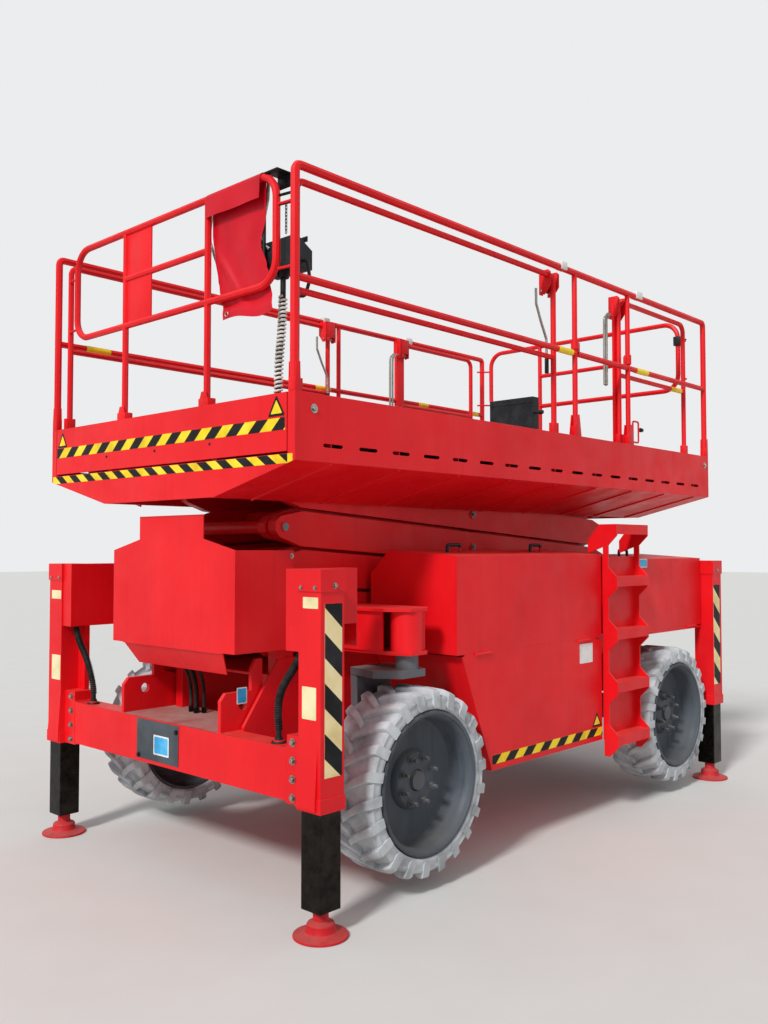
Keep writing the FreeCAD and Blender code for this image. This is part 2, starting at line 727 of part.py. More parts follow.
def front_hood():
    """Folded sheet over the front of the frame, with a neck, sloped shoulders and a chin."""
    outline = [(-hood_half_y, hood_low_z), (-hood_half_y, hood_shoulder_z), (-hood_neck_half_y, hood_neck_low_z),
               (-hood_neck_half_y, hood_neck_high_z), (hood_neck_half_y, hood_neck_high_z),
               (hood_neck_half_y, hood_neck_low_z), (hood_half_y, hood_shoulder_z), (hood_half_y, hood_low_z)]
    front = prism_x(outline, hood_x, hood_x + plate)
    parts = [front]
    for side in (-1, 1):
        y0, y1 = sorted((side * (hood_half_y - plate), side * hood_half_y))
        parts.append(block(hood_x, hood_rear_x, y0, y1, hood_low_z, hood_shoulder_z))
        y0, y1 = sorted((side * (wall_inner_y + wall_plate), side * hood_half_y))
        parts.append(block(-1620, hood_rear_x, y0, y1, hood_low_z, hood_low_z + 60))
    chin = prism([(hood_x + plate, -430, hood_low_z), (hood_x + plate, 430, hood_low_z),
                  (hood_x + 70, 380, 1040), (hood_x + 70, -380, 1040)], (plate, 0, 0))
    parts.append(chin)
    parts.append(block(hood_x, hood_x + plate * 2, -430, 430, hood_low_z - 4, hood_low_z + 20))
    for side in (-1, 1):
        y0, y1 = sorted((side * 440, side * 460))
        parts.append(block(-1640, -1585, y0, y1, 1100, hood_low_z + 60))
    return joined(parts)


def side_tray(content):
    """Lower side box with a slanted front edge, open on top under its cover."""
    top = cover_low_z - cover_gap
    outline = [(front_cover_x0 + 42, top), (front_cover_x1, top), (front_cover_x1, tray_low_z),
               (front_cover_x0 + 42 + tray_slant, tray_low_z)]
    outer = prism_y(outline, box_inner_y, box_outer_y)
    inner_outline = [(front_cover_x0 + 42 + plate * 1.2, top + 1), (front_cover_x1 - plate, top + 1),
                     (front_cover_x1 - plate, tray_low_z + plate),
                     (front_cover_x0 + 42 + tray_slant + plate * 0.7, tray_low_z + plate)]
    inner = prism_y(inner_outline, box_inner_y + plate, box_outer_y - plate)
    tray = outer.cut(inner)
    mount = block(-500, 300, wall_inner_y + wall_plate, box_inner_y, 700, 800)
    lip = hinge_lip(front_cover_x0 + hinge_inset, front_cover_x1 - hinge_inset)
    return joined([tray, mount, content, lip])


def hinge_lip(x0, x1):
    """Strip along a box's outer edge that the cover above it stands on, with its hinge barrels."""
    strip = block(x0, x1, box_outer_y - 12, box_outer_y, cover_low_z - cover_gap - 14, cover_low_z - seat_play)
    parts = [strip]
    for x in hinge_places(x0, x1):
        parts.append(bar((x - hinge_long, hinge_y, hinge_z), (x, hinge_y, hinge_z), hinge_radius))
        parts.append(block(x - hinge_long, x, box_outer_y - 1, box_outer_y + 3, hinge_z - 16, hinge_z))
    return joined(parts)


def hinge_places(x0, x1):
    """X of the joint line of each hinge along an edge."""
    return [x0 + (x1 - x0) * share for share in (0.12, 0.88)]


def engine_block():
    return block(-420, 250, box_inner_y + 60, box_outer_y - 60, tray_low_z + plate, 1220)


def oil_tank():
    return block(-380, 380, box_inner_y + 40, box_outer_y - 90, tray_low_z + plate, 1060)


def rear_tray():
    """Floor and inner wall behind a rear cover, over the rear tyre."""
    floor = block(rear_cover_x0, rear_cover_x1, wall_inner_y + wall_plate, box_outer_y - 4,
                  cover_low_z - cover_gap - 14, cover_low_z - cover_gap)
    lip = hinge_lip(rear_cover_x0 + hinge_inset, rear_cover_x1 - hinge_inset)
    wall = block(rear_cover_x0 + 20, rear_cover_x1 - 20, wall_inner_y + wall_plate, wall_inner_y + wall_plate + plate,
                 1000, cover_low_z - cover_gap)
    tank = block(rear_cover_x0 + 120, rear_cover_x1 - 200, box_inner_y + 80, box_outer_y - 90,
                 cover_low_z - cover_gap, 1420)
    return joined([floor, wall, tank, lip])


def cover(x0, x1, outer_z):
    """Hinged side cover: outer wall, sloped top and end walls, open towards the stack."""
    slope_z = outer_z + cover_top_rise
    inner_y = box_inner_y + 4
    outline = [(box_outer_y, cover_low_z), (box_outer_y, outer_z), (cover_slope_y, slope_z),
               (inner_y, slope_z - cover_slope_drop), (inner_y, cover_low_z)]
    solid = prism_x(outline, x0, x1)
    p = plate
    hollow_outline = [(box_outer_y - p, cover_low_z - 1), (box_outer_y - p, outer_z - p * 0.97),
                      (cover_slope_y + p * 0.4, slope_z - p), (inner_y - 1, slope_z - cover_slope_drop - p * 1.6),
                      (inner_y - 1, cover_low_z - 1)]
    hollow = prism_x(hollow_outline, x0 + p, x1 - p)
    parts = [solid.cut(hollow)]
    for x in hinge_places(x0 + hinge_inset, x1 - hinge_inset):
        x_end = x + seat_play + hinge_long
        parts.append(bar((x + seat_play, hinge_y, hinge_z), (x_end, hinge_y, hinge_z), hinge_radius))
        parts.append(block(x + seat_play, x_end, box_outer_y - 1, box_outer_y + 3, cover_low_z, cover_low_z + 22))
        parts.append(block(x + seat_play, x_end, box_outer_y + seat_play, box_outer_y + 3, hinge_z, cover_low_z + 2))
    for along in (0.22, 0.78) if x1 - x0 > 1200 else (0.35,):
        x = x0 + (x1 - x0) * along
        z = outer_z + cover_top_rise * 0.55
        grip = bent_tube([(x - 55, 800, z - 8), (x - 55, 800, z + 42), (x + 55, 800, z + 42), (x + 55, 800, z - 8)],
                         10, 14)
        parts.append(grip)
    return joined(parts)


def ladder():
    """Five deep treads between two saw-tooth side plates, on the right side."""
    parts = []
    back_y, out_y = box_outer_y + 6, ladder_outer_y
    outline = []
    for step in range(ladder_steps):
        z = ladder_top_z - step * ladder_pitch
        outline.append((out_y, z))
        outline.append((out_y, z - 70))
        outline.append((out_y - 60, z - 130))
        if step < ladder_steps - 1:
            outline.append((out_y - 60, z - ladder_pitch + 60))
    bottom = ladder_top_z - (ladder_steps - 1) * ladder_pitch - 130
    outline.append((back_y, bottom))
    outline.append((back_y, 1660))
    outline.append((back_y - 105, 1620))
    outline.append((back_y - 105, 1700))
    outline.append((back_y - 25, ladder_top_z))
    for x in (ladder_x0, ladder_x1 - ladder_plate):
        parts.append(prism_x([(-y, z) for y, z in outline], x, x + ladder_plate))
    for step in range(ladder_steps):
        z = ladder_top_z - step * ladder_pitch
        parts.append(block(ladder_x0, ladder_x1, -out_y, -out_y + tread_deep, z - 8, z))
        parts.append(block(ladder_x0, ladder_x1, -out_y, -out_y + 6, z - 62, z))
    parts.append(block(ladder_x0, ladder_x1, -back_y, -back_y + 5, 480, 1600))
    stay = block(ladder_x0 + 40, ladder_x1 - 40, -back_y, -wall_inner_y - wall_plate, 900, 960)
    parts.append(stay)
    return joined(parts)


def fascia_slots(y):
    """Row of long slots low in a fascia, one solid for each."""
    row = (slot_count - 1) * slot_pitch
    cuts = []
    for i in range(slot_count):
        x = i * slot_pitch - row / 2
        half, deep = slot_long / 2, slot_high / 2
        outline = [(x - half, slot_z), (x - half + deep, slot_z - deep), (x + half - deep, slot_z - deep),
                   (x + half, slot_z), (x + half - deep, slot_z + deep), (x - half + deep, slot_z + deep)]
        cuts.append(prism_y(outline, y - plate - 1, y + 1))
    return Part.makeCompound(cuts)


def platform_hull():
    """Fixed platform: fascias, end plates, sloped underside with ribs, floor and carrying beams."""
    hx, hy, low = platform_half_x, platform_half_y, hull_low_half_y
    inner_x = hx - end_panel - 8
    parts = []
    p = plate
    for side in (-1, 1):
        fascia = block(-hx, hx, hy - p, hy, fascia_low_z, fascia_high_z).cut(fascia_slots(hy))
        lip = block(-hx, hx, hy - corner_wide, hy, fascia_high_z - 8, fascia_high_z)
        skin = prism_x([(hy, fascia_low_z), (hy, fascia_low_z + 8), (low, hull_low_z + 8), (low, hull_low_z)], -hx, hx)
        keel = block(-inner_x, inner_x, platform_beam_y, platform_beam_y + platform_beam_wide, hull_low_z,
                     floor_top_z - 6)
        corners = [block(s * hx - (corner_wide if s > 0 else 0), s * hx + (0 if s > 0 else corner_wide),
                         hy - corner_wide, hy, fascia_low_z, fascia_high_z) for s in (-1, 1)]
        pieces = [fascia, lip, skin, keel] + corners
        for i in range(rib_count):
            x = -hx + (i + 0.5) * 2 * hx / rib_count
            pieces.append(prism_x([(hy - 12, fascia_low_z - rib_proud), (low, hull_low_z - rib_proud),
                                   (low, floor_top_z - 3), (hy - 12, floor_top_z - 3)], x - 4, x + 4))
        for piece in pieces:
            parts.append(piece if side > 0 else other_side(piece))
        roller_track = block(-80, hx - 40, outer_arm_y - 30, platform_beam_y + 1,
                             stage_z(stages) + roller_radius + seat_play, floor_top_z - 6)
        parts.append(roller_track if side > 0 else other_side(roller_track))
    parts.append(block(-inner_x, inner_x, -hy + p / 2, hy - p / 2, floor_top_z - 6, floor_top_z))
    parts.append(block(front_deck_rear_x + 10, rear_deck_front_x - 50, -floor_panel_half_y, floor_panel_half_y,
                       floor_top_z, floor_top_z + floor_panel))
    for s in (-1, 1):
        x0, x1 = sorted((s * hx, s * (hx - p)))
        plate_end = prism_x([(-hy, fascia_low_z), (-low, hull_low_z), (low, hull_low_z), (hy, fascia_low_z),
                             (hy, fascia_low_z + 32), (-hy, fascia_low_z + 32)], x0, x1)
        parts.append(plate_end)
    shape = joined(parts)
    for side in (-1, 1):
        y0, y1 = sorted((side * (platform_beam_y - 20), side * (platform_beam_y + platform_beam_wide + 20)))
        shape = shape.cut(bar_y(front_pin_x, stage_z(stages), y0, y1, arm_pin_radius + pin_play))
    return shape


def socket(x, y, width_x):
    """Tapered double plate that holds the foot of a rail post."""
    half = width_x / 2
    post = block(x - 17, x + 17, y - 20, y + 20, fascia_high_z, fascia_high_z + 62)
    cheeks = []
    for s in (-1, 1):
        y0, y1 = sorted((y + s * 17.5, y + s * 22.5))
        cheeks.append(prism_y([(x - half, fascia_high_z), (x + half, fascia_high_z), (x + 14, socket_high_z),
                               (x - 14, socket_high_z)], y0, y1))
    return [post] + cheeks


def post(x, y, high_z):
    return tube((x, y, fascia_high_z + 20), (x, y, high_z), post_radius)


def main_rails(side):
    """Fixed outer guard rails of one side; the right side leaves the entry open below its top rail."""
    y = side * outer_rail_y
    end_x = end_post_x
    run = [(-end_x, y, fascia_high_z + 20), (-end_x, y, top_rail_z), (end_x, y, top_rail_z),
           (end_x, y, fascia_high_z + 20)]
    parts = [bent_tube(run, outer_rail_radius, 30)]
    for x, width in ((-end_x, 34), (entry_front_x, 70), (entry_rear_x, 70), (end_x, 34)):
        parts.extend(socket(x, y, width))
    for x in (entry_front_x, entry_rear_x):
        parts.append(post(x, y, top_rail_z))
    spans = [(-end_x, end_x)] if side > 0 else [(-end_x, entry_front_x), (entry_rear_x, end_x)]
    for x0, x1 in spans:
        parts.append(tube((x0, y, mid_rail_z), (x1, y, mid_rail_z), loop_radius))
    return joined(parts)


def entry_bar():
    """Mid rail across the entry; it slides up on the two entry posts."""
    y = -outer_rail_y
    gap = rail_radius + 5
    bar_piece = tube((entry_front_x + gap, y, mid_rail_z), (entry_rear_x - gap, y, mid_rail_z), loop_radius)
    parts = [bar_piece]
    for x in (entry_front_x, entry_rear_x):
        ring = tube((x, y, mid_rail_z + 24), (x, y, mid_rail_z + 84), rail_radius + 7)
        hole = tube((x, y, mid_rail_z + 20), (x, y, mid_rail_z + 90), post_radius + pin_play)
        toward = 1 if x < (entry_front_x + entry_rear_x) / 2 else -1
        x0, x1 = sorted((x + toward * (rail_radius + 3), x + toward * (rail_radius + 30)))
        link = block(x0, x1, y - 8, y + 8, mid_rail_z, mid_rail_z + 70)
        parts.append(ring.fuse(link).cut(hole))
    return joined(parts)


def front_deck():
    """Front extension: deck plate, side channels and the striped end panel."""
    hx = platform_half_x
    side_y = platform_half_y - corner_wide - 6
    deck = block(-hx + 4, front_deck_rear_x, -side_y, side_y, extension_deck_z - extension_plate, extension_deck_z)
    panel = block(-hx, -hx + end_panel, -side_y, side_y, fascia_low_z + 42, fascia_high_z)
    fold_y = side_y - 46
    fold = block(-hx, -loop_x + 24, -fold_y, fold_y, fascia_high_z - 8, fascia_high_z)
    x, y, z = control_cable_route[-1]
    gland = tube((x, y, extension_deck_z - 2), (x, y, z), control_cable_diameter / 2 + 8)
    parts = [deck, panel, fold, gland]
    for side in (-1, 1):
        y0, y1 = sorted((side * (side_y - 8), side * side_y))
        parts.append(block(-hx + 4, front_inner_post_x + 60, y0, y1, extension_deck_z - extension_plate,
                           fascia_high_z - 20))
        for x in (-1700, -700, -250):
            y0, y1 = sorted((side * (side_y - 90), side * (side_y - 50)))
            parts.append(bar((x, y0, floor_top_z + 10.3), (x, y1, floor_top_z + 10.3), 10))
    return joined(parts)


def rear_deck():
    """Rear extension: deck plate, side channels and end panel."""
    hx = platform_half_x
    side_y = platform_half_y - corner_wide - 6
    deck = block(rear_deck_front_x, hx - 4, -side_y, side_y, extension_deck_z - extension_plate, extension_deck_z)
    panel = block(hx - end_panel, hx, -side_y, side_y, fascia_low_z + 42, fascia_high_z)
    fold_y = side_y - 46
    fold = block(rear_loop_x - 24, hx, -fold_y, fold_y, fascia_high_z - 8, fascia_high_z)
    parts = [deck, panel, fold]
    for side in (-1, 1):
        y0, y1 = sorted((side * (side_y - 8), side * side_y))
        parts.append(block(rear_deck_front_x - 40, hx - 4, y0, y1, extension_deck_z - extension_plate,
                           fascia_high_z - 20))
        for x in (960, 1800):
            y0, y1 = sorted((side * (side_y - 90), side * (side_y - 50)))
            parts.append(bar((x, y0, floor_top_z + 10.3), (x, y1, floor_top_z + 10.3), 10))
    return joined(parts)


def inner_foot(x, side):
    """Foot of an inner rail's post, standing on the side channel of its extension."""
    y = side * inner_rail_y
    return block(x - 30, x + 30, y - 18, y + 18, fascia_high_z - 20, fascia_high_z + 70)


def side_frame(x0, x1, bend, side):
    """Inner rail of an extension on one side: a bent tube, its mid rail and two feet."""
    y = side * inner_rail_y
    run = [(x0, y, fascia_high_z - 18), (x0, y, inner_top_rail_z), (x1, y, inner_top_rail_z),
           (x1, y, fascia_high_z - 18)]
    parts = [bent_tube(run, rail_radius, bend)]
    parts.append(tube((x0, y, inner_mid_rail_z), (x1, y, inner_mid_rail_z), post_radius))
    parts.append(inner_foot(x0, side))
    parts.append(inner_foot(x1, side))
    return parts


def end_frame(x, post_x):
    """Rounded end frame of an extension with its two posts and the links to the side rails' posts at post_x."""
    half = loop_half_y
    corners = [(x, -half, loop_top_z), (x, half, loop_top_z), (x, half, loop_low_z), (x, -half, loop_low_z)]
    parts = [ring_tube(corners, loop_radius, loop_bend)]
    for side in (-1, 1):
        y = side * loop_post_y
        parts.append(tube((x, y, fascia_high_z + 2), (x, y, loop_top_z), post_radius))
        parts.append(block(x - 24, x + 24, y - 38, y + 38, fascia_high_z, fascia_high_z + 42))
        near_y, far_y = side * (half - loop_radius), side * (inner_rail_y - rail_radius * flat_share)
        for z in link_z:
            parts.append(prism_z([(x - 8, near_y), (x + 8, near_y), (post_x + 6, far_y), (post_x - 6, far_y)],
                                 z - link_high / 2, z + link_high / 2))
    z = (loop_top_z + loop_low_z) / 2
    parts.append(tube((x, -loop_post_y, z), (x, loop_post_y, z), post_radius - 1))
    return parts


def front_rails():
    """Inner side rails of the front extension."""
    frames = [joined(side_frame(-loop_x + 20, front_inner_post_x, 40, side)) for side in (-1, 1)]
    return Part.makeCompound(frames)


def front_loop():
    """End frame of the front extension, with its flat sheet panel."""
    parts = end_frame(-loop_x, -loop_x + 20)
    parts.append(block(-loop_x - 4, -loop_x + 4, 105, loop_post_y, loop_low_z, loop_top_z))
    return joined(parts)


def rear_rails():
    """Inner side rails of the rear extension with their flat stiffener posts."""
    frames = []
    x0 = rear_deck_front_x
    for side in (-1, 1):
        parts = side_frame(x0, rear_inner_post_x, 60, side)
        y0, y1 = sorted_y(side, inner_rail_y - 26, inner_rail_y - 14)
        parts.append(block(x0 - 40, x0 + 40, y0, y1, fascia_high_z - 20, inner_top_rail_z - 20))
        frames.append(joined(parts))
    return Part.makeCompound(frames)


def rear_loop():
    """End frame of the rear extension."""
    return joined(end_frame(rear_loop_x, rear_inner_post_x))


def control_box():
    """Platform control box on a carrier that hooks over the top of the front loop."""
    x0, x1, y0, y1 = control_x0, control_x1, control_y0, control_y1
    z0, z1 = control_low_z, control_high_z
    body = prism_y([(x0, z0), (x1, z0), (x1, z1 - 50), (x0 + 40, z1), (x0, z1)], y0, y1)
    knob = tube(((x0 + x1) / 2, y0 + 50, z1 - 40), ((x0 + x1) / 2, y0 + 50, z1 + 34), 15)
    shelf = block(x0 - 20, x1, y0, y1, z0 - 12, z0)
    top_z = loop_top_z + loop_radius * flat_share + seat_play
    x, y, z = control_cable_route[0]
    gland = tube((x, y, z0 - 10), (x, y, z), control_cable_diameter / 2 + 6)
    parts = [body, knob, shelf, gland]
    parts.append(block(-loop_x - 24, x0 - 8, carrier_y[0] - 22, carrier_y[1] + 22, top_z, top_z + 6))
    for y in carrier_y:
        parts.append(tube((x0 - 16, y, top_z + 3), (x0 - 16, y, z0 - 6), 9))
    return joined(parts)


def manual_box():
    """Flat black box standing on the rear deck."""
    return block(1040, 1120, -180, 210, extension_deck_z, 2760)


def weather_cover():
    """Vinyl sheet hung over the top of the front loop, as a thin closed solid."""
    x = -loop_x + loop_radius * flat_share + seat_play
    return block(x, x + cover_sheet, cover_sheet_y0, -loop_post_y - 22, cover_sheet_low_z, loop_top_z + 12)


def arc_path(points):
    """Path of straight runs joined by arcs as large as the runs allow, each arc in short chords."""
    corners = [Vector(*p) for p in points]
    path = [corners[0]]
    for before, corner, after in zip(corners, corners[1:], corners[2:]):
        way_in = (before - corner).normalize()
        way_out = (after - corner).normalize()
        half = way_in.getAngle(way_out) / 2
        reach = 0.45 * min((before - corner).Length, (after - corner).Length)
        radius = reach * math.tan(half)
        centre = corner + (way_in + way_out).normalize() * (radius / math.sin(half))
        first = corner + way_in * reach - centre
        axis = way_out.cross(way_in).normalize()
        turn = math.pi - 2 * half
        for k in range(arc_chords + 1):
            path.append(centre + Rotation(axis, math.degrees(turn * k / arc_chords)).multVec(first))
    path.append(corners[-1])
    return path


def hose(points, diameter):
    """Hose with flat sides along a route; its section has the real one's area."""
    path = arc_path(points)
    step = 2 * math.pi / hose_sides
    radius = diameter / 2 * math.sqrt(step / math.sin(step))
    shape = swept(path, radius, False, hose_sides)
    length = sum((b - a).Length for a, b in zip(path, path[1:]))
    print("hose length", round(length), "volume over section times length",
          round(shape.Volume / (math.pi * diameter ** 2 / 4 * length), 3))
    return shape


def control_cable():
    """Spiral-wrapped cable from under the control box to the front extension's deck."""
    return hose(control_cable_route, control_cable_diameter)


def leg_hose():
    """Hose bundle from a front leg's housing into the top of the front beam, on the left side."""
    return hose(leg_hose_route, leg_hose_diameter)


def save(name, shape):
    shape.exportStep("parts/" + name + ".step")


def all_nodes():
    nodes = {}
    nodes["chassis_frame"] = chassis_frame()
    nodes["front_beam"] = end_beam(-1)
    nodes["rear_beam"] = end_beam(1)
    nodes["front_axle"] = front_axle()
    nodes["rear_axle"] = rear_axle()
    nodes["front_hood"] = front_hood()
    nodes["leg_posts"] = leg_posts()
    nodes["ladder"] = ladder()
    nodes["side_tray_left"] = side_tray(oil_tank())
    nodes["side_tray_right"] = other_side(side_tray(engine_block()))
    nodes["rear_trays"] = Part.makeCompound(both_sides(rear_tray()))
    front_cover = cover(front_cover_x0, front_cover_x1, front_cover_outer_z)
    rear_cover = cover(rear_cover_x0, rear_cover_x1, rear_cover_outer_z)
    nodes["front_cover_left"] = front_cover
    nodes["front_cover_right"] = other_side(front_cover)
    nodes["rear_cover_left"] = rear_cover
    nodes["rear_cover_right"] = other_side(rear_cover)
    # name, end sign of X, side sign of Y
    for name, end, side in (("front_right", -1, -1), ("front_left", -1, 1), ("rear_right", 1, -1), ("rear_left", 1, 1)):
        nodes["jack_tube_" + name] = jack_tube(end * leg_x, side * leg_y)
        nodes["foot_" + name] = foot(end * leg_x, side * leg_y)
        axle_x = front_axle_x if end < 0 else rear_axle_x
        nodes["tyre_" + name] = tyre(axle_x, side * wheel_centre_y)
        nodes["rim_" + name] = rim(axle_x, side * wheel_centre_y, side)
    nodes["knuckle_right"] = knuckle(-1)
    nodes["knuckle_left"] = knuckle(1)
    for stage in range(stages):
        nodes["inner_arm_%d" % (stage + 1)] = placed_arm(inner_arm(stage), stage)
        nodes["outer_arm_%d" % (stage + 1)] = placed_arm(outer_arm(stage), stage)
    nodes["lift_barrel"] = lift_barrel()
    nodes["lift_ram"] = lift_ram()
    nodes["platform_hull"] = platform_hull()
    nodes["main_rails_right"] = main_rails(-1)
    nodes["main_rails_left"] = main_rails(1)
    nodes["entry_bar"] = entry_bar()
    nodes["front_deck"] = front_deck()
    nodes["front_rails"] = front_rails()
    nodes["front_loop"] = front_loop()
    nodes["control_box"] = control_box()
    nodes["weather_cover"] = weather_cover()
    nodes["rear_deck"] = rear_deck()
    nodes["rear_rails"] = rear_rails()
    nodes["rear_loop"] = rear_loop()
    nodes["manual_box"] = manual_box()
    nodes["control_cable"] = control_cable()
    nodes["leg_hose_left"] = leg_hose()
    nodes["leg_hose_right"] = other_side(leg_hose())
    return nodes


os.makedirs("parts", exist_ok=True)
for node_name, node_shape in all_nodes().items():
    save(node_name, node_shape)
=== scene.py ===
import bmesh
import bpy
import math
from mathutils import Matrix, Vector


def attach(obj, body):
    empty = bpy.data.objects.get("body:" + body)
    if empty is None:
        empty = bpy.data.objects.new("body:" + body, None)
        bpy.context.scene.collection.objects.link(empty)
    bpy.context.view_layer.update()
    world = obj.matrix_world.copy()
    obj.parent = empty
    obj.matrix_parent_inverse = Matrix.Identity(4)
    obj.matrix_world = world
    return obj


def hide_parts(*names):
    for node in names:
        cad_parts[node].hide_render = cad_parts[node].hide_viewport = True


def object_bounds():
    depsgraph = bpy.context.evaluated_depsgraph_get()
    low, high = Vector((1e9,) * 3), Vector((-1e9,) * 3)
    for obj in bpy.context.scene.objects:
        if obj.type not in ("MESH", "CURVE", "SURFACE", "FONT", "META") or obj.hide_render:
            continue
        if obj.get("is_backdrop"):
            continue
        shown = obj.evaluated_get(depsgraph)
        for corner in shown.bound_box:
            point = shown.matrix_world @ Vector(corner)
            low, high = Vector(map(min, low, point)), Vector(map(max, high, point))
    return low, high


# Rough-terrain scissor lift on its jack legs. Metres, front at -X, the ladder side is -Y.

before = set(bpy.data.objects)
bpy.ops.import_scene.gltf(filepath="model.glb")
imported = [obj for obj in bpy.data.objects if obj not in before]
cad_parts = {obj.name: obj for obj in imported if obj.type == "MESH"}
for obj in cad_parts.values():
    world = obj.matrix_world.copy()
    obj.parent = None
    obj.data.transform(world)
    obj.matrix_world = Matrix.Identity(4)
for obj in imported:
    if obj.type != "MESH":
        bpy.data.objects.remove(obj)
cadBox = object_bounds()
scene = bpy.context.scene
scene.view_settings.view_transform = "Standard"
print("frame loaded", len(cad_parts), "nodes")

sides = (("right", -1), ("left", 1))
corners = [(end + "_" + sideName, way, side) for end, way in (("front", -1), ("rear", 1)) for sideName, side in sides]
materials = {}

camera = {"at": (-4.7593, -4.0996, 1.6524), "tilt": 92.17, "heading": -47.03, "lens": 33.516, "sensor": 36.0}


def buildCamera():
    data = bpy.data.cameras.new("viewCamera")
    data.sensor_fit = "AUTO"
    data.sensor_width = camera["sensor"]
    data.lens = camera["lens"]
    data.clip_end = 200
    eye = bpy.data.objects.new("viewCamera", data)
    eye.location = camera["at"]
    eye.rotation_euler = (math.radians(camera["tilt"]), 0, math.radians(camera["heading"]))
    scene.collection.objects.link(eye)
    scene.camera = eye


def linear(hexColour):
    # sRGB hex to linear RGBA
    parts = [int(hexColour[i:i + 2], 16) / 255 for i in (0, 2, 4)]
    return tuple(c / 12.92 if c <= 0.04045 else ((c + 0.055) / 1.055) ** 2.4 for c in parts) + (1.0,)


def addNode(tree, kind, props=None, values=None, links=None):
    # a link comes from an output, or from the first live output of a node
    node = tree.nodes.new("ShaderNode" + kind)
    for key, value in (props or {}).items():
        setattr(node, key, value)
    for key, value in (values or {}).items():
        node.inputs[key].default_value = value
    for key, source in (links or {}).items():
        if isinstance(source, bpy.types.Node):
            source = next(output for output in source.outputs if output.enabled)
        tree.links.new(source, node.inputs[key])
    return node


def startMaterial(name):
    # an empty material's node tree, and the object coordinates that its patterns read
    material = materials[name] = bpy.data.materials.new(name)
    material.use_nodes = True
    tree = material.node_tree
    tree.nodes.clear()
    return tree, addNode(tree, "TexCoord").outputs["Object"]


def closeMaterial(tree, values, links):
    shader = addNode(tree, "BsdfPrincipled", {}, values, links)
    addNode(tree, "OutputMaterial", {}, {}, {"Surface": shader})


# finishes, each named for what it is
rgba = {"data_type": "RGBA"}
# base, faded, dust and its amount, grime and its amount, smoothest and roughest, chips, gloss, orange peel
paint = {
    "redEnamel": ("DA0A16", "E8161E", "D07468", 0.20, "7A060C", 0.13, (0.34, 0.56), "9A1016", 0.28, 0.06),
    "dustyEnamel": ("A8343A", "B85A58", "B4948A", 0.5, "5A1A1C", 0.4, (0.55, 0.8), "6E4A44", 0.3, 0.1),
    "greyEnamel": ("4A4C50", "62646A", "9A9286", 0.45, "1C1D20", 0.5, (0.42, 0.68), "7A7268", 0.4, 0.1),
    "blackEnamel": ("161719", "26272A", "6F6A60", 0.25, "0A0A0B", 0.4, (0.28, 0.5), "3A3632", 0.5, 0.1),
    "wornPrimer": ("C0141E", "C62C32", "B08074", 0.22, "5A1A1E", 0.6, (0.5, 0.8), "5C534C", 0.3, 0.12),
    "rimEnamel": ("3E454C", "50575F", "6E6A62", 0.3, "202226", 0.5, (0.45, 0.7), "7C7064", 0.4, 0.12),
}


